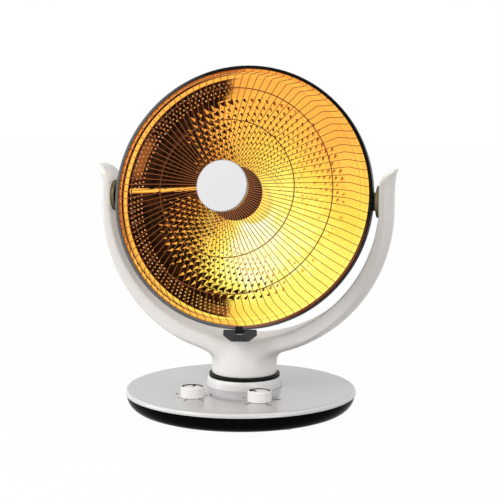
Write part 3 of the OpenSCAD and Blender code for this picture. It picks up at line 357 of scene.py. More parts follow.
def makeForkPaint(kept):  # off-white, with painted warm light where it faces the head and painted shade on the right arm's front edge
    material = kept.copy()
    material.name = "forkPaint"
    tree = material.node_tree
    shader = tree.nodes["Principled BSDF"]
    look = {"bounce": (1.0, 0.87, 0.74, 1), "strength": 0.24, "middleZ": 232, "facing": (-0.4, -0.9),
            "unlitX": 120, "litX": 20, "shade": (0.74, 0.73, 0.715, 1), "front": (-0.7, -0.95),
            "shadeStart": 110, "shadeFull": 150}
    place, normal = onObject(tree, "Object"), onObject(tree, "Normal")
    out = vectorNode(tree, "SUBTRACT", place, (0, 0, look["middleZ"] * mm))
    away = vectorNode(tree, "NORMALIZE", vectorNode(tree, "MULTIPLY", out, (1, 0, 1)))
    facing = mapRange(tree, vectorNode(tree, "DOT_PRODUCT", normal, away), *look["facing"])
    x = alongAxis(tree, place, "X")
    # painted warm light on the faces that turn towards the head, fading to the right
    lit = mathNode(tree, "MULTIPLY", facing, mapRange(tree, x, look["unlitX"] * mm, look["litX"] * mm))
    # painted shade on the front edge of the right arm
    shaded = mathNode(tree, "MULTIPLY", mapRange(tree, alongAxis(tree, normal, "Y"), *look["front"]),
                      mapRange(tree, x, look["shadeStart"] * mm, look["shadeFull"] * mm))
    plain = shader.inputs["Base Color"].links[0].from_socket
    feed(tree, shader, {"Base Color": mixColor(tree, shaded, plain, look["shade"], "MULTIPLY"),
                        "Emission Color": mixColor(tree, lit, (0, 0, 0, 1), look["bounce"]),
                        "Emission Strength": look["strength"]})
    return material


def makeHubPaint():  # pale front, with painted shade that makes the side wall black and the chamfer half grey
    material, tree, shader = newMaterial("hubPaint")
    look = {"face": (0.70, 0.70, 0.71, 1), "side": (0.006, 0.006, 0.006, 1), "front": (0.66, 0.74),
            "specular": 0.3}
    addGrain(tree, shader, 1400.0, 22.0, 0.04, (0.4, 0.5))
    ahead = vectorNode(tree, "DOT_PRODUCT", onObject(tree, "Normal"), headAhead)
    # painted shade: black where the surface turns away from the head's front
    front = mapRange(tree, ahead, *look["front"])
    feed(tree, shader, {"Base Color": mixColor(tree, front, look["side"], look["face"]),
                        "Specular IOR Level": look["specular"]})
    return material


def makeRimPaint():  # black gloss with a painted grey sheen on the left and below, and painted light from the dish on the lip low on the right
    material, tree, shader = newMaterial("rimPaint")
    look = {"black": (0.002, 0.002, 0.002, 1), "paintedSheen": (0.125, 0.135, 0.14, 1), "specular": 0.06,
            "sheenWay": (-0.91, -0.42, 0), "sheenSpread": (-0.1, 0.5), "warm": (0.20, 0.05, 0.018, 1),
            "warmWay": (0.6, -0.8, 0), "warmSpread": (0.7, 0.9), "lipIn": 148.6, "lipOut": 149.4}
    addGrain(tree, shader, 900.0, 30.0, 0.04, (0.22, 0.34))
    out = vectorNode(tree, "SUBTRACT", onObject(tree, "Object"), headMiddle)
    up = vectorNode(tree, "DOT_PRODUCT", out, headUp)
    flat = addNode(tree, "ShaderNodeCombineXYZ", {"X": alongAxis(tree, out, "X"), "Y": up}).outputs["Vector"]
    way = vectorNode(tree, "NORMALIZE", flat)
    # painted sheen: grey towards the left and below
    paintedSheen = mapRange(tree, vectorNode(tree, "DOT_PRODUCT", way, look["sheenWay"]), *look["sheenSpread"])
    near = mapRange(tree, vectorNode(tree, "DOT_PRODUCT", way, look["warmWay"]), *look["warmSpread"])
    onLip = mapRange(tree, vectorNode(tree, "LENGTH", flat), look["lipOut"] * mm, look["lipIn"] * mm)
    # painted light from the dish on the inner lip, low on the right
    warm = mathNode(tree, "MULTIPLY", near, onLip)
    feed(tree, shader, {"Base Color": mixColor(tree, paintedSheen, look["black"], look["paintedSheen"]),
                        "Emission Color": mixColor(tree, warm, (0, 0, 0, 1), look["warm"]),
                        "Emission Strength": 1.0, "Specular IOR Level": look["specular"]})
    return material


def makeGoldPaint():  # mirror sheet with the element's light painted on it as glow, and painted dark shade where it is unlit
    material, tree, shader = newMaterial("goldDish")
    look = {"gold": (0.12, 0.05, 0.008, 1), "paleGold": (0.16, 0.07, 0.012, 1),
            "unlit": (0.010, 0.004, 0.002, 1)}
    smudges = addGrain(tree, shader, 700.0, 60.0, 0.05, (0.2, 0.34))
    glow = useGroup(tree, glowGroup)
    gold = mixColor(tree, smudges, look["gold"], look["paleGold"])
    feed(tree, shader, {"Base Color": mixColor(tree, glow["Lit"], look["unlit"], gold), "Metallic": 1.0,
                        "Emission Color": glow["Light"], "Emission Strength": 1.0})
    return material


# Dark wires with the element's light painted on them as glow. Of their marks Red is the heat of that painted
# light, Green how far the shield is behind them, and Blue is for the ring at the rim, which takes the dish's
# painted light.
def makeWirePaint():
    material, tree, shader = newMaterial("guardWire")
    look = {"dark": (0.008, 0.005, 0.003, 1), "pale": (0.012, 0.007, 0.005, 1), "specular": 0.04,
            "beforeShield": (0.36, 0.12, 0.045, 1), "rimCool": (0.96, 0.30, 0.05, 1),
            "rimHot": (1.0, 0.90, 0.14, 1),
            "heat": [(0.0, (0.012, 0.005, 0.003, 1)), (0.12, (0.28, 0.078, 0.026, 1)),
                     (0.2, (0.22, 0.07, 0.02, 1)), (0.6, (0.20, 0.066, 0.006, 1)),
                     (0.85, (0.26, 0.13, 0.012, 1)), (1.0, (0.62, 0.48, 0.12, 1))]}
    smudges = addGrain(tree, shader, 1500.0, 90.0, 0.05, (0.34, 0.46))
    marks = meshMarks(tree)
    glow = colorRamp(tree, marks["Red"], look["heat"])
    glow = mixColor(tree, marks["Green"], glow, look["beforeShield"])
    atRim = mixColor(tree, marks["Red"], look["rimCool"], look["rimHot"])
    feed(tree, shader, {"Base Color": mixColor(tree, smudges, look["dark"], look["pale"]),
                        "Emission Color": mixColor(tree, marks["Blue"], glow, atRim),
                        "Emission Strength": 1.0, "Specular IOR Level": look["specular"]})
    return material


def makeGlowAndPaintedLight(name, cool, hot, strength):  # glowing, with hotter and cooler stretches: the heater wire's own glow, and painted light on the ceramic core, the hub plate and the shield
    material, tree, shader = newMaterial(name)
    look = {"dark": (0.012, 0.004, 0.002, 1), "pale": (0.02, 0.006, 0.002, 1), "rough": 0.5, "specular": 0.15}
    smudges = addGrain(tree, shader, 900.0, 120.0, 0.1)
    feed(tree, shader, {"Base Color": mixColor(tree, smudges, look["dark"], look["pale"]),
                        "Emission Color": mixColor(tree, smudges, cool, hot),
                        "Emission Strength": strength, "Roughness": look["rough"],
                        "Specular IOR Level": look["specular"]})
    return material


topPaint = makeTopPaint()
forkPaint = makeForkPaint(offWhite)
hubPaint = makeHubPaint()
rimPaint = makeRimPaint()
goldPaint = makeGoldPaint()
wirePaint = makeWirePaint()
hotWire = makeGlowAndPaintedLight("glowingWire", (1.0, 0.42, 0.06, 1), (1.0, 0.68, 0.12, 1), 1.6)
# painted light: the ceramic core bright yellow, a golden reflection on the hub plate's edge and a dim red
# glow on the shield
paintedLitCeramic = makeGlowAndPaintedLight("litCeramic", (1.0, 0.80, 0.14, 1), (1.0, 0.90, 0.22, 1), 0.95)
hubPlatePaint = makeGlowAndPaintedLight("hubPlate", (0.75, 0.34, 0.07, 1), (0.95, 0.50, 0.15, 1), 1.5)
shieldPaint = makeGlowAndPaintedLight("shieldPaint", (0.10, 0.018, 0.003, 1), (0.05, 0.008, 0.001, 1), 0.14)
print("materials made")


# Finishes of the CAD nodes. Those that aren't named here, such as screws, bolts and shafts, are zinc-plated.
nodeLooks = {
    "base_bottom": blackShell, "base_top": topPaint, "rubber_feet": rubber, "weight_ring": castWeight,
    "collar": collarPaint, "neck_ring": blackMatte, "swing_bush": bearingPlastic, "gear_motor": motorCase,
    "rotary_switch": darkPlastic, "timer": bearingPlastic, "tip_switch": darkPlastic, "cord_inlet": rubber,
    "tip_plunger": redPlastic, "knob_left": offWhite, "knob_left_ring": inkBlack, "knob_right": offWhite,
    "knob_right_ring": inkBlack, "crank": bearingPlastic, "fork": forkPaint, "friction_discs": bronzeDisc,
    "pivot_bosses": brownPlastic, "rim_band": rimPaint, "guard_wires": wirePaint, "guard_rings": wirePaint,
    "hub_cap": hubPaint, "hub_plate": hubPlatePaint, "reflector": goldPaint, "rear_housing": housingPaint,
    "rear_cap": blackMatte, "element_core": paintedLitCeramic, "heater_coil": hotWire, "front_shield": shieldPaint,
    "terminal_block": ceramic, "thermal_cutout": darkPlastic, "latch_lug": blackMatte,
    "latch_clip": darkPlastic,
}
for nodeName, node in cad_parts.items():
    node.data.materials.clear()
    node.data.materials.append(nodeLooks.get(nodeName, zincSteel))
print("node finishes set")


# Gold dish: rows of small pyramids, a field of studs, a smooth bright band and a seam strip, with the
# element's light painted on them
dish = {
    "base": -35.0, "depth": 52.0, "edgeR": 142.9, "holeR": 17.0, "throatR": 26.0, "thick": 0.9,
    "backRings": 12, "columns": 80, "twist": 1.6, "patternIn": 34.0, "patternOut": 117.5, "firstPitch": 5.0,
    "lastPitch": 8.2, "studIn": 121.5, "studSplit": 125.5, "studOut": 135.2, "bandIn": 137.3,
    "bandOut": 140.9, "bandEdge": 0.7, "bandRise": 0.9, "grooveWide": 0.5, "grooveOut": 142.3,
    "flangeSplit": 145.0, "flangeR": 147.6,
}

# Painted light on the sheet: how far it is lit and how hot it looks, at four radii and at angles from the
# right in front view
glowRound = {
    "radius": [50, 88, 108, 127],
    "angle": [-180, -150, -125, -105, -85, -60, -30, 0, 30, 60, 90, 110, 130, 150, 180],
    "share": [[0.56, 0.60, 0.80, 0.95, 1.00, 1.00, 1.00, 0.97, 0.95, 0.80, 0.72, 0.70, 0.65, 0.48, 0.40],
              [0.31, 0.47, 0.60, 0.73, 0.82, 0.95, 1.00, 0.95, 0.88, 0.83, 0.77, 0.66, 0.48, 0.14, 0.14],
              [0.18, 0.31, 0.43, 0.58, 0.66, 0.91, 0.99, 0.91, 0.87, 0.88, 0.83, 0.68, 0.34, 0.07, 0.07],
              [0.00, 0.04, 0.08, 0.28, 0.82, 0.98, 1.00, 0.98, 0.95, 0.95, 0.80, 0.30, 0.05, 0.00, 0.00]],
    "heat": [[0.30, 0.52, 0.78, 1.00, 1.00, 1.00, 0.90, 0.84, 0.84, 0.76, 0.66, 0.56, 0.34, 0.18, 0.16],
             [0.18, 0.34, 0.66, 0.88, 1.00, 0.92, 0.87, 0.76, 0.58, 0.57, 0.54, 0.44, 0.26, 0.14, 0.14],
             [0.14, 0.24, 0.42, 0.76, 0.85, 0.86, 0.83, 0.64, 0.45, 0.49, 0.48, 0.38, 0.20, 0.12, 0.12],
             [0.10, 0.12, 0.16, 0.40, 0.74, 0.84, 0.82, 0.64, 0.40, 0.46, 0.42, 0.24, 0.12, 0.10, 0.10]],
}


def glowAt(kind, angle, r):  # kind is share, how far it is lit, or heat, from 0 orange to 1 near white
    level = [np.interp(angle, glowRound["angle"], row) for row in glowRound[kind]]
    return float(np.interp(r, glowRound["radius"], level))


def foldedAngle(a):
    return (math.degrees(a) + 180) % 360 - 180


def dishLevel(r):
    return dish["base"] + dish["depth"] * (r / dish["edgeR"]) ** 2


def putPoint(sheet, r, a, rise=0.0):  # raised square to the sheet
    slope = 2 * dish["depth"] * r / dish["edgeR"] ** 2
    lean = math.hypot(1, slope)
    out = r - rise * slope / lean
    sheet["points"].append((out * math.cos(a), out * math.sin(a),
                            dishLevel(min(r, dish["edgeR"])) + rise / lean))
    return len(sheet["points"]) - 1


def jitter(sheet, spread):
    return sheet["dice"].uniform(-spread, spread)


def putFace(sheet, corners, lit, heat, pale=0.0):
    sheet["faces"].append(tuple(corners))
    sheet["marks"].append((min(1.0, max(0.0, lit)), min(1.0, max(0.0, heat)), pale, 1))


# Each pyramid has a short leaning ridge. Its sides take painted light and glints in halves, the lower and the
# upper one, where the sheet's share passes the numbers of litFrom: for the first side, the inner, the outer
# and the last.
pyramid = {
    "height": 1.3, "fullPitch": 6.5, "margin": 0.05, "ridgeIn": 0.34, "ridgeOut": 0.72, "ridgeLean": 0.26,
    "litFrom": [(0.34, 0.28), (0.50, 0.44), (0.56, 0.62), (0.66, 0.92)], "blur": 0.02,
    "least": 0.75, "leastShares": (0.76, 0.92), "rimLit": 0.95, "rimShares": (0.54, 0.64),
    "shareSpread": 0.05, "heatSpread": 0.04, "cooler": 0.05, "redder": 0.4,
}


def patternRows():
    inR, outR = dish["patternIn"], dish["patternOut"]
    rows = [inR]
    while rows[-1] < outR:
        along = (rows[-1] - inR) / (outR - inR)
        rows.append(rows[-1] + dish["firstPitch"] + (dish["lastPitch"] - dish["firstPitch"]) * along)
    return [inR + (r - inR) * (outR - inR) / (rows[-1] - inR) for r in rows]


def addPyramid(sheet, r0, r1, a0, step):
    a1, angle = a0 + step, foldedAngle(a0 + step / 2)
    gap, wall = pyramid["margin"] * (r1 - r0), pyramid["margin"] * step
    height = pyramid["height"] * min(1.0, (r1 - r0) / pyramid["fullPitch"])
    lean = pyramid["ridgeLean"] if angle > 0 else -pyramid["ridgeLean"]
    inner = (r0 + pyramid["ridgeIn"] * (r1 - r0), a0 + step / 2)
    outer = (r0 + pyramid["ridgeOut"] * (r1 - r0), a0 + step * (0.5 + lean))
    corners = [putPoint(sheet, r, a) for r, a in ((r0, a0), (r0, a1), (r1, a1), (r1, a0))]
    foot = [(r0 + gap, a0 + wall), (r0 + gap, a1 - wall), (r1 - gap, a1 - wall), (r1 - gap, a0 + wall)]
    waist = [putPoint(sheet, (p[0] + q[0]) / 2, (p[1] + q[1]) / 2, height / 2)
             for p, q in zip(foot, (inner, inner, outer, outer))]
    foot = [putPoint(sheet, r, a) for r, a in foot]
    ridge = [putPoint(sheet, *inner, height), putPoint(sheet, *outer, height)]
    tops = [(ridge[0],), (ridge[1], ridge[0]), (ridge[1],), (ridge[0], ridge[1])]
    share = glowAt("share", angle, (r0 + r1) / 2) + jitter(sheet, pyramid["shareSpread"])
    heat = glowAt("heat", angle, (r0 + r1) / 2) + jitter(sheet, pyramid["heatSpread"])
    first, last = (1, 3) if angle > 0 else (3, 1)
    litFrom = dict(zip((first, 0, 2, last), pyramid["litFrom"]))
    least = pyramid["least"] * ease(*pyramid["leastShares"], share)
    rim = pyramid["rimLit"] * ease(*pyramid["rimShares"], share)
    for k in range(4):
        n = (k + 1) % 4
        low, high = (ease(s - pyramid["blur"], s + pyramid["blur"], share) for s in litFrom[k])
        warm = heat - pyramid["cooler"] if k == last else heat
        topWarm = warm - pyramid["redder"] * (1 - high)
        putFace(sheet, (foot[k], foot[n], waist[n], waist[k]), max(least, low), warm)
        putFace(sheet, (waist[k], waist[n]) + tops[k], max(least, high), topWarm)
        putFace(sheet, (corners[k], corners[n], foot[n], foot[k]), rim, heat - pyramid["cooler"])


def addPyramids(sheet):  # in rows that turn a little from one to the next
    rows = patternRows()
    step = 2 * math.pi / dish["columns"]
    for j, (r0, r1) in enumerate(zip(rows, rows[1:])):
        for i in range(dish["columns"]):
            addPyramid(sheet, r0, r1, math.pi + i * step - j * math.radians(dish["twist"]), step)


# Smooth rings: radius, rise, and how far each is lit with painted light and how hot it looks where the sheet
# round it is dark.
# One with lit 0 is the plain sheet, and one with lit -1 is a groove.
innerRings = [(dish["holeR"], 0, 0.9, 0.7), (dish["throatR"], 0, 0.9, 0.7), (dish["patternIn"], 0, 0.9, 0.6)]
outerRings = [
    (dish["patternOut"], 0, 0, 0), (dish["studIn"], 0, 0, 0), (dish["studSplit"], 0, 0, 0),
    (dish["studOut"], 0, 0, 0), (dish["bandIn"] - dish["grooveWide"], -0.5, -1, 0),
    (dish["bandIn"], 0.1, 0.6, 0.12), (dish["bandIn"] + dish["bandEdge"], dish["bandRise"], 1, 0.40),
    (dish["bandOut"] - dish["bandEdge"], dish["bandRise"], 1, 0.47), (dish["bandOut"], 0.1, 0.8, 0.3),
    (dish["grooveOut"], -0.3, -1, 0), (dish["edgeR"], 0, 0.6, 0.1), (dish["flangeSplit"], 0, 0.85, 0.16),
    (dish["flangeR"], 0, 0.6, 0.08),
]
# Each pair is the two angles or shares between which an effect comes in or goes out.
ringLook = {
    "steps": 240, "sheetShares": (0.5, 0.64), "grooveShares": (0.5, 0.7), "bandShares": (0.62, 0.8),
    "sheetCooler": 0.03, "grooveCooler": 0.08, "grooveLit": 0.95,
    "haze": 0.34, "hazeIn": 126, "hazeFrom": (147, 155), "hazeTo": (174, 167), "hazeShares": (0.2, 0.5),
    "lowHeat": 0.26, "lowFrom": (-155, -100), "wideHeat": 0.5, "wideFrom": (-170, -145),
    "topRed": 0.2, "topSpread": 0.1, "topFrom": (40, 58), "topTo": (112, 98),
}


def ringLight(sheet, angle, r, lit, heat):
    share, here = glowAt("share", angle, r), glowAt("heat", angle, r)
    below = angle < 0
    if lit == 0:  # with a painted reddish glow between the outer studs, high on the left and at the bottom
        level = ease(*ringLook["sheetShares"], share)
        haze = ease(*ringLook["hazeFrom"], angle) * ease(*ringLook["hazeTo"], angle)
        haze = max(haze, ease(*ringLook["hazeShares"], share) * below) * (1 - level)
        haze *= r > ringLook["hazeIn"]
        level, warm = max(level, ringLook["haze"] * haze), (here - ringLook["sheetCooler"]) * (1 - haze)
    elif lit < 0:
        level = ringLook["grooveLit"] * ease(*ringLook["grooveShares"], share)
        warm = here - ringLook["grooveCooler"]
    else:
        bright = ease(*ringLook["bandShares"], share)
        heat += ringLook["lowHeat"] * ease(*ringLook["lowFrom"], angle) * below
        level, warm = lit + (1 - lit) * bright, here * bright + heat * (1 - bright)
    if dish["bandOut"] < r < dish["flangeSplit"]:  # the painted bright band is wider low on the left
        wide = ease(*ringLook["wideFrom"], angle) * below
        level, warm = max(level, wide), max(warm, ringLook["wideHeat"] * wide)
    if r > dish["bandOut"]:  # the flange's painted light is redder at the top
        red = ringLook["topRed"] + jitter(sheet, ringLook["topSpread"])
        warm -= red * ease(*ringLook["topFrom"], angle) * ease(*ringLook["topTo"], angle)
    return level, warm


def addRings(sheet):
    steps = ringLook["steps"]
    for rings in (innerRings, outerRings):
        before = None
        for r, rise, lit, heat in rings:
            now = [putPoint(sheet, r, 2 * math.pi * k / steps, rise) for k in range(steps)]
            if before:
                for k in range(steps):
                    n = (k + 1) % steps
                    angle = foldedAngle(2 * math.pi * (k + 0.5) / steps)
                    light = ringLight(sheet, angle, (r + lastR) / 2, lit, heat)
                    putFace(sheet, (before[k], now[k], now[n], before[n]), *light)
            before, lastR = now, r


def addBack(sheet):  # unlit
    steps = dish["columns"]
    before = None
    for k in range(dish["backRings"] + 1):
        r = dish["holeR"] + (dish["flangeR"] - dish["holeR"]) * k / dish["backRings"]
        now = [putPoint(sheet, r, 2 * math.pi * i / steps, -dish["thick"]) for i in range(steps)]
        if before:
            for i in range(steps):
                n = (i + 1) % steps
                putFace(sheet, (before[i], before[n], now[n], now[i]), 0, 0)
        before = now


# Studs in slanted rows, with painted glints. They stand out pale and red from the dark sheet, and take its
# painted light where it is lit.
stud = {
    "rows": 4, "count": 150, "slant": 0.33, "margin": 1.5, "r": 1.15, "browR": 0.8625, "sides": 6,
    "foot": -0.1, "brow": 0.55, "top": 0.75, "sheetShare": 0.6, "sheetLit": 0.97, "sideLit": (0.95, 0.6),
    "lit": 0.22, "litGain": 0.55, "litSpread": (-0.18, 0.15), "heat": 0.04, "heatSpread": 0.26,
    "heatGain": 0.45, "heatFrom": (-150, -95), "cooler": 0.05, "palest": 0.75,
    "darkFrom": 95, "upperFrom": (138, 118), "lowerFrom": (-150, -105),
}


def addStuds(sheet):
    dice = sheet["dice"]
    turns = [2 * math.pi * s / stud["sides"] for s in range(stud["sides"])]
    inR, outR = dish["studIn"] + stud["margin"], dish["studOut"] - stud["margin"]
    for i in range(stud["count"]):
        for row in range(stud["rows"]):
            a = 2 * math.pi * (i + row * stud["slant"]) / stud["count"]
            r = inR + (outR - inR) * row / (stud["rows"] - 1)
            angle = foldedAngle(a)
            near = max(ease(*stud["upperFrom"], angle), ease(*stud["lowerFrom"], angle))
            near = near if abs(angle) > stud["darkFrom"] else 1
            lit = stud["lit"] + stud["litGain"] * near + dice.uniform(*stud["litSpread"])
            heat = stud["heat"] + stud["heatSpread"] * dice.random()
            heat += stud["heatGain"] * ease(*stud["heatFrom"], angle) * (angle < 0)
            pale = dice.uniform(0.0, stud["palest"])
            sideLit = stud["sideLit"][1]
            if glowAt("share", angle, r) > stud["sheetShare"]:
                lit, heat, pale = stud["sheetLit"], glowAt("heat", angle, r) - stud["cooler"], 0
                sideLit = stud["sideLit"][0]
            foot, brow = ([putPoint(sheet, r + q * math.cos(b), a + q * math.sin(b) / r, rise) for b in turns]
                          for q, rise in ((stud["r"], stud["foot"]), (stud["browR"], stud["brow"])))
            top = putPoint(sheet, r, a, stud["top"])
            for s in range(stud["sides"]):
                t = (s + 1) % stud["sides"]
                putFace(sheet, (foot[s], foot[t], brow[t], brow[s]), lit * sideLit, heat - stud["cooler"])
                putFace(sheet, (brow[s], brow[t], top), lit, heat, pale)


# Seam strip on the left, where the sheet is joined, with painted light on its faces. It is lifted above the
# radius, more so near the middle.
seam = {"half": 2.9, "halfIn": 0.7, "flat": 0.6, "rise": 1.2, "foot": 0.1, "liftIn": 17.5, "liftOut": 3.5,
        "steps": 27, "light": [(0.9, 0.28), (1.0, 0.5), (0.95, 0.36)]}


def addSeam(sheet):
    strip = []
    for k in range(seam["steps"] + 1):
        along = k / seam["steps"]
        r = dish["patternIn"] + (dish["studOut"] - dish["patternIn"]) * along
        lift = seam["liftOut"] + (seam["liftIn"] - seam["liftOut"]) * (1 - along)
        half = seam["half"] * (seam["halfIn"] + (1 - seam["halfIn"]) * along)
        profile = [(lift - half, seam["foot"]), (lift - half * seam["flat"], seam["rise"]),
                   (lift + half * seam["flat"], seam["rise"]), (lift + half, seam["foot"])]
        strip.append([putPoint(sheet, math.hypot(r, y), math.pi - math.atan2(y, r), rise)
                      for y, rise in profile])
    for low, high in zip(strip, strip[1:]):
        for j, (lit, heat) in enumerate(seam["light"]):
            putFace(sheet, (low[j], low[j + 1], high[j + 1], high[j]), lit, heat)


def makeDish():
    sheet = {"points": [], "faces": [], "marks": [], "dice": np.random.default_rng(7)}
    for addPart in (addPyramids, addRings, addBack, addStuds, addSeam):
        addPart(sheet)
    faces, marks = sheet["faces"], sheet["marks"]
    piece = addPiece("goldDish", sheet["points"], faces, headMatrix, "head", goldPaint, ["reflector"],
                     smooth=False)
    layer = piece.data.color_attributes.new(name="glow", type="FLOAT_COLOR", domain="CORNER")
    values = np.concatenate([np.tile(np.array(m), (len(f), 1)) for f, m in zip(faces, marks)])
    layer.data.foreach_set("color", values.astype(np.float32).ravel())


makeDish()
print("dish made")


# Guard: radial wires bent at the shoulder, ring wires behind them. Its pairs are of angles, radii or heat.
guard = {
    "wires": 96, "wireR": 0.41, "ringR": 0.62, "bend": 2.5, "ringSteps": 180,
    "line": [(147.2, 17.7), (143.6, 17.7), (131.5, 56), (115, 65), (76, 81.5), (30.4, 94.4), (26.2, 94.4)],
    "rings": [(141.4, 19.1), (114.3, 63.5), (75.5, 79.9)],
    "leastHeat": 0.12, "heatOut": 115, "leftFrom": (100, 140), "bandFrom": (131, 138),
    "shieldAngle": -28, "shieldFrom": (80, 60), "shieldOut": (50, 42), "shieldLoss": 0.8,
    "rimIn": 135, "rimHeatR": 127, "rimFrom": (120, 90),
    "ringHeat": 0.05, "ringGain": 0.03, "ringFrom": (0.3, 0.5),
}


def addWires(name, parts, marksAt, node):  # with the marks of painted light that the wires' paint reads
    points, faces = joined(parts)
    piece = addPiece(name, points, faces, headMatrix, "head", wirePaint, [node])
    layer = piece.data.color_attributes.new(name="glow", type="FLOAT_COLOR", domain="POINT")
    back = headMatrix.inverted()
    values = []
    for v in piece.data.vertices:
        p = back @ v.co
        values += [*marksAt(math.degrees(math.atan2(p.y, p.x)), math.hypot(p.x, p.y)), 1]
    layer.data.foreach_set("color", values)


def wireMarks(angle, r):  # painted light, dimmed in front of the shield, with no heat before the band on the left
    left = ease(*guard["leftFrom"], abs(angle)) * ease(*guard["bandFrom"], r)
    shield = ease(*guard["shieldFrom"], abs(angle - guard["shieldAngle"]))
    shield *= ease(*guard["shieldOut"], r)
    heat = glowAt("heat", angle, min(r, guard["heatOut"])) * (1 - guard["shieldLoss"] * shield)
    return max(guard["leastHeat"], heat) * (1 - left), shield, 0


def ringMarks(angle, r):  # the ring at the rim takes the dish's painted light, but not on the left
    if r > guard["rimIn"]:
        share = ease(*guard["rimFrom"], abs(angle))
        return glowAt("heat", angle, guard["rimHeatR"]) * share, 0, share
    gain = ease(*guard["ringFrom"], wireMarks(angle, r)[0])
    return guard["ringHeat"] + guard["ringGain"] * gain, 0, 0


def makeGuard():
    line = rounded([(r, 0, z) for r, z in guard["line"]], guard["bend"])
    wires = []
    for i in range(guard["wires"]):
        turn = Matrix.Rotation(2 * math.pi * (i + 0.5) / guard["wires"], 3, "Z")
        wires.append(tube([turn @ p for p in line], guard["wireR"], 8))
    addWires("guardWires", wires, wireMarks, "guard_wires")
    rings = []
    turns = [2 * math.pi * k / guard["ringSteps"] for k in range(guard["ringSteps"])]
    for r, z in guard["rings"]:
        circle = [(r * math.cos(a), r * math.sin(a), z) for a in turns]
        rings.append(tube(circle, guard["ringR"], 10, loop=True))
    addWires("guardRings", rings, ringMarks, "guard_rings")


makeGuard()
print("guard made")


# Fork: one band swept round the bottom, curled tips, flared neck
fork = {
    "middleY": 16.5, "middleZ": 232.0, "pivotZ": 241.5, "armIn": 157.0, "armEdge": 7.0, "armDepth": 42.0,
    "crownR": 171.5, "crownRoot": 0.55, "rootExtra": 8.5, "rootEdge": 0.75, "rootDepth": 66.0, "corner": 1.4,
    "discR": 18.5, "tipRise": 37.5, "curlR": 20.5, "lean": 3.0, "tipRound": 14.0, "tipLeast": 1.6,
    "neckR": 37.5, "neckTaper": 10, "neckFillet": 12.0, "neckZ": 40.0, "neckEdge": 0.6,
    "skirtIn": 20, "skirtTall": 16, "turnSteps": 120, "filletSteps": 12,
    "arcSteps": 60, "tipSteps": 26, "crownSteps": 20, "voxel": 1.05, "smoothing": 7, "neckSmoothing": 180,
    "flowLow": (46, 58), "flowHigh": (104, 84), "flowSide": (80, 52),
}


def forkSection(inner, edge, crown, half, direction, z):
    bend = min(fork["corner"], (edge - inner) / 2)
    section = [(inner, -half + bend), (inner + bend * 0.3, -half + bend * 0.3), (inner + bend, -half)]
    for i in range(fork["crownSteps"] + 1):
        y = 2 * i / fork["crownSteps"] - 1
        section.append((edge + (crown - edge) * (1 - y * y), y * half))
    section += [(inner + bend, half), (inner + bend * 0.3, half - bend * 0.3), (inner, half - bend)]
    return [(p * direction[0], y, z + p * direction[1]) for p, y in section]


def forkArc(up, side):  # the section at an angle from the lowest point
    c, s = math.cos(math.radians(up)), math.sin(math.radians(up))
    inner = fork["armIn"] - fork["rootExtra"] * c
    rise = (fork["crownR"] - fork["armIn"] - fork["armEdge"]) * fork["crownRoot"] * c
    edge = inner + fork["armEdge"] + rise + fork["rootExtra"] * c * fork["rootEdge"]
    if fork["middleZ"] - inner * c > fork["pivotZ"] - fork["discR"]:
        inner = max(inner, fork["armIn"] / s)
    half = fork["armDepth"] / 2 + (fork["rootDepth"] - fork["armDepth"]) / 2 * c * c
    return forkSection(inner, min(edge, fork["crownR"] - 3), fork["crownR"], half, (side * s, -c),
                       fork["middleZ"])


def forkTip(share, side):  # the section on the way from the arc's end up to the curled tip
    cheek = fork["pivotZ"] + fork["tipRise"]
    z = fork["middleZ"] + (cheek - fork["middleZ"]) * share
    rise = max(0, z - (cheek - fork["curlR"]))
    crown = fork["crownR"] + fork["lean"] * share ** 4
    curled = fork["armIn"] + fork["curlR"] - math.sqrt(max(0, fork["curlR"] ** 2 - rise ** 2))
    inner = min(curled, crown - fork["tipLeast"])
    corner = max(0, z - (cheek - fork["tipRound"]))
    half = fork["armDepth"] / 2 - fork["tipRound"] + math.sqrt(max(0, fork["tipRound"] ** 2 - corner ** 2))
    edge = min(inner + fork["armEdge"], crown - fork["tipLeast"] / 2)
    return forkSection(inner, edge, crown, half, (side, 0), z)


def forkBand():
    tips = [1 - (i / fork["tipSteps"]) ** 1.6 for i in range(fork["tipSteps"])]
    arc = [i / fork["arcSteps"] - 1 for i in range(2 * fork["arcSteps"] + 1)]
    sections = ([forkTip(s, -1) for s in tips] + [forkArc(abs(t) * 90, -1 if t < 0 else 1) for t in arc]
                + [forkTip(s, 1) for s in reversed(tips)])
    size = len(sections[0])
    points = [p for section in sections for p in section]
    faces = quadsBetween(len(sections), len(sections) - 1, size, size)
    faces.append(tuple(range(size)))
    faces.append(tuple((len(sections) - 1) * size + j for j in range(size))[::-1])
    return points, faces


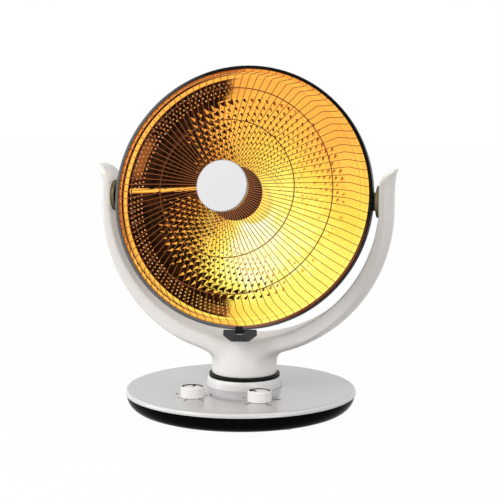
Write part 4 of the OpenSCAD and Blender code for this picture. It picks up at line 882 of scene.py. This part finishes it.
def forkNeck():  # a round column and the skirt that flares into the band
    flareX = fork["neckR"] + fork["neckFillet"]
    flareZ = fork["middleZ"] - math.sqrt((fork["crownR"] + fork["neckFillet"]) ** 2 - flareX ** 2)
    skirtX = flareX * fork["crownR"] / (fork["crownR"] + fork["neckFillet"])
    skirtZ = flareZ + fork["skirtTall"]
    endAngle = math.acos((flareX - skirtX) / fork["neckFillet"])
    steps = [i / fork["filletSteps"] for i in range(fork["filletSteps"] + 1)]
    flare = [(flareX - fork["neckFillet"] * math.cos(endAngle * t),
              flareZ + fork["neckFillet"] * math.sin(endAngle * t)) for t in steps]
    neckTop = fork["middleZ"] - fork["armIn"] + fork["rootExtra"]
    shoulder = [(fork["neckR"] - fork["neckTaper"] * t ** 2.2, flareZ - 1 + (neckTop - 2 - flareZ) * t)
                for t in steps]
    bottom = [(0.01, fork["neckZ"]), (fork["neckR"] - fork["neckEdge"], fork["neckZ"]),
              (fork["neckR"], fork["neckZ"] + fork["neckEdge"])]
    column = revolve(bottom + shoulder + [(0.01, neckTop - 2.4)], fork["turnSteps"])
    skirt = [(fork["skirtIn"], flareZ)] + flare + [(skirtX, skirtZ), (fork["skirtIn"], skirtZ)]
    points, faces = revolve(skirt, fork["turnSteps"], closed=True)
    depth = fork["rootDepth"] / 2 - 1
    return joined([column, ([(x, max(-depth, min(depth, y)), z) for x, y, z in points], faces)])


def makeFork():
    points, faces = joined([forkBand(), forkNeck()])
    matrix = Matrix.Translation((0, fork["middleY"] * mm, 0)) @ baseMatrix
    piece = addPiece("swingFork", points, faces, matrix, "fork", forkPaint, ["fork"])
    remesh = piece.modifiers.new("solid", "REMESH")
    remesh.mode, remesh.voxel_size, remesh.use_smooth_shade = "VOXEL", fork["voxel"] * mm, True
    soften = piece.modifiers.new("soften", "SMOOTH")
    soften.factor, soften.iterations = 0.5, fork["smoothing"]
    applyModifiers(piece)
    area = piece.vertex_groups.new(name="neckBlend")  # the neck flows into the band
    for v in piece.data.vertices:
        x, z = abs(v.co.x) / mm, v.co.z / mm
        weight = (ease(*fork["flowLow"], z) * ease(*fork["flowHigh"], z)
                  * ease(*fork["flowSide"], x))
        if weight > 0:
            area.add([v.index], weight, "REPLACE")
    flow = piece.modifiers.new("flow", "SMOOTH")
    flow.factor, flow.iterations, flow.vertex_group = 0.5, fork["neckSmoothing"], "neckBlend"
    applyModifiers(piece)
    piece.data.shade_smooth()


makeFork()
print("fork made")


# Heater wire: an open helix round the ribbed core
coil = {"r": 20.0, "wireR": 1.2, "turns": 13, "steps": 28, "start": -30.2, "end": 34.8, "lead": 3.84,
        "leadAngle": 0.12}


def makeCoil():
    pitch = (coil["end"] - coil["start"] - 2 * coil["lead"]) / coil["turns"]
    leadX, leadY = coil["r"] * math.cos(coil["leadAngle"]), coil["r"] * math.sin(coil["leadAngle"])
    line = [(leadX, -leadY, coil["start"])]
    for i in range(coil["turns"] * coil["steps"] + 1):
        a = 2 * math.pi * i / coil["steps"]
        z = coil["start"] + coil["lead"] + pitch * i / coil["steps"]
        line.append((coil["r"] * math.cos(a), coil["r"] * math.sin(a), z))
    line.append((leadX, leadY, coil["end"]))
    points, faces = tube(line, coil["wireR"], 10)
    addPiece("heaterWire", points, faces, headMatrix, "head", hotWire, ["heater_coil"])


makeCoil()
print("heater wire made")


# Dial marks round the knobs: short ticks and plain numbers with their angles
dial = {
    "knobX": 38.5, "knobY": -63.0, "faceZ": 26.5, "thick": 0.12, "tickR": 16.5, "tickLong": 2.6,
    "tickWide": 1.3, "numberR": 21.6, "numberSize": 6.0,
    "left": [("0", 160), ("1", 218), ("2", 264), ("3", 318), ("4", 38)],
    "right": [("0", 156), ("15", 242), ("30", 312), ("60", 33)],
}


def makeTick(middle, outward, across):
    corners = [middle + outward * u * dial["tickLong"] / 2 + across * v * dial["tickWide"] / 2
               for u, v in ((-1, -1), (1, -1), (1, 1), (-1, 1))]
    lifted = [c + Vector((0, 0, dial["thick"])) for c in corners]
    return corners + lifted, [(4, 5, 6, 7), (0, 1, 5, 4), (1, 2, 6, 5), (2, 3, 7, 6), (3, 0, 4, 7)]


def makeNumber(label, place):
    curve = bpy.data.curves.new("number", "FONT")
    curve.body, curve.size, curve.extrude = label, dial["numberSize"], dial["thick"] / 2
    curve.align_x, curve.align_y = "CENTER", "CENTER"
    holder = bpy.data.objects.new("number", curve)
    made = bpy.data.meshes.new_from_object(holder)
    number = [place + v.co for v in made.vertices], [tuple(f.vertices) for f in made.polygons]
    bpy.data.objects.remove(holder)
    bpy.data.curves.remove(curve)
    bpy.data.meshes.remove(made)
    return number


def makeDials():
    parts = []
    for side, x in (("left", -dial["knobX"]), ("right", dial["knobX"])):
        middle = Vector((x, dial["knobY"], dial["faceZ"]))
        for label, angle in dial[side]:
            a = math.radians(angle)
            outward, across = Vector((math.cos(a), math.sin(a), 0)), Vector((-math.sin(a), math.cos(a), 0))
            parts.append(makeTick(middle + outward * dial["tickR"], outward, across))
            raised = Vector((0, 0, dial["thick"] / 2))
            parts.append(makeNumber(label, middle + raised + outward * dial["numberR"]))
    points, faces = joined(parts)
    addPiece("dialMarks", points, faces, baseMatrix, "base", inkBlack, smooth=False)


makeDials()
print("dials made")


# Floor, backdrop and light. A lamp has its power, width, place and aim.
studio = {
    "floorSize": 12000, "paper": (0.27, 0.255, 0.245, 1), "floorGlow": 1.04, "floorShare": 0.94,
    "ambient": 0.62, "sky": 1.0,
    "lamps": {"key": (24.0, 1000, (-1200, -1400, 1500), (0, 0, 150)),
              "side": (11.0, 900, (-1900, -500, 500), (0, 0, 220)),
              "fill": (10.5, 800, (1300, -1450, 400), (0, 0, 200)),
              "top": (4.0, 1000, (400, 200, 2000), (0, 0, 100))},
}


def seenDirectly(tree):  # 1 for the camera and for what metal and glass show
    path = addNode(tree, "ShaderNodeLightPath").outputs
    either = mathNode(tree, "MAXIMUM", path["Is Camera Ray"], path["Is Glossy Ray"])
    return mathNode(tree, "MAXIMUM", either, path["Is Transmission Ray"])


def makeFloor():
    s = studio["floorSize"] * mm / 2
    mesh = bpy.data.meshes.new("floor")
    mesh.from_pydata([(-s, -s, 0), (s, -s, 0), (s, s, 0), (-s, s, 0)], [], [(0, 1, 2, 3)])
    floor = bpy.data.objects.new("floor", mesh)
    scene.collection.objects.link(floor)
    material, tree, shader = newMaterial("floorPaper")
    tree.nodes.remove(shader)
    paper = addNode(tree, "ShaderNodeBsdfDiffuse", {"Color": studio["paper"]}).outputs[0]
    glow = {"Color": (1, 1, 1, 1), "Strength": studio["floorGlow"]}
    white = addNode(tree, "ShaderNodeEmission", glow).outputs[0]
    share = mathNode(tree, "MULTIPLY", seenDirectly(tree), studio["floorShare"])
    mixed = addNode(tree, "ShaderNodeMixShader", {0: share, 1: paper, 2: white}).outputs[0]
    tree.links.new(mixed, tree.nodes["Material Output"].inputs["Surface"])
    mesh.materials.append(material)


def makeStudio():
    world = bpy.data.worlds.new("studio")
    scene.world = world
    world.use_nodes = True
    tree = world.node_tree
    strength = mixValue(tree, seenDirectly(tree), studio["ambient"], studio["sky"])
    feed(tree, tree.nodes["Background"], {"Color": (1, 1, 1, 1), "Strength": strength})
    for name, (power, width, place, aim) in studio["lamps"].items():
        data = bpy.data.lights.new(name, "AREA")
        data.energy, data.size = power, width * mm
        lamp = bpy.data.objects.new(name, data)
        scene.collection.objects.link(lamp)
        lamp.location = Vector(place) * mm
        lamp.rotation_euler = (Vector(aim) - Vector(place)).to_track_quat("-Z", "Y").to_euler()


makeFloor()
makeStudio()
print("studio made")
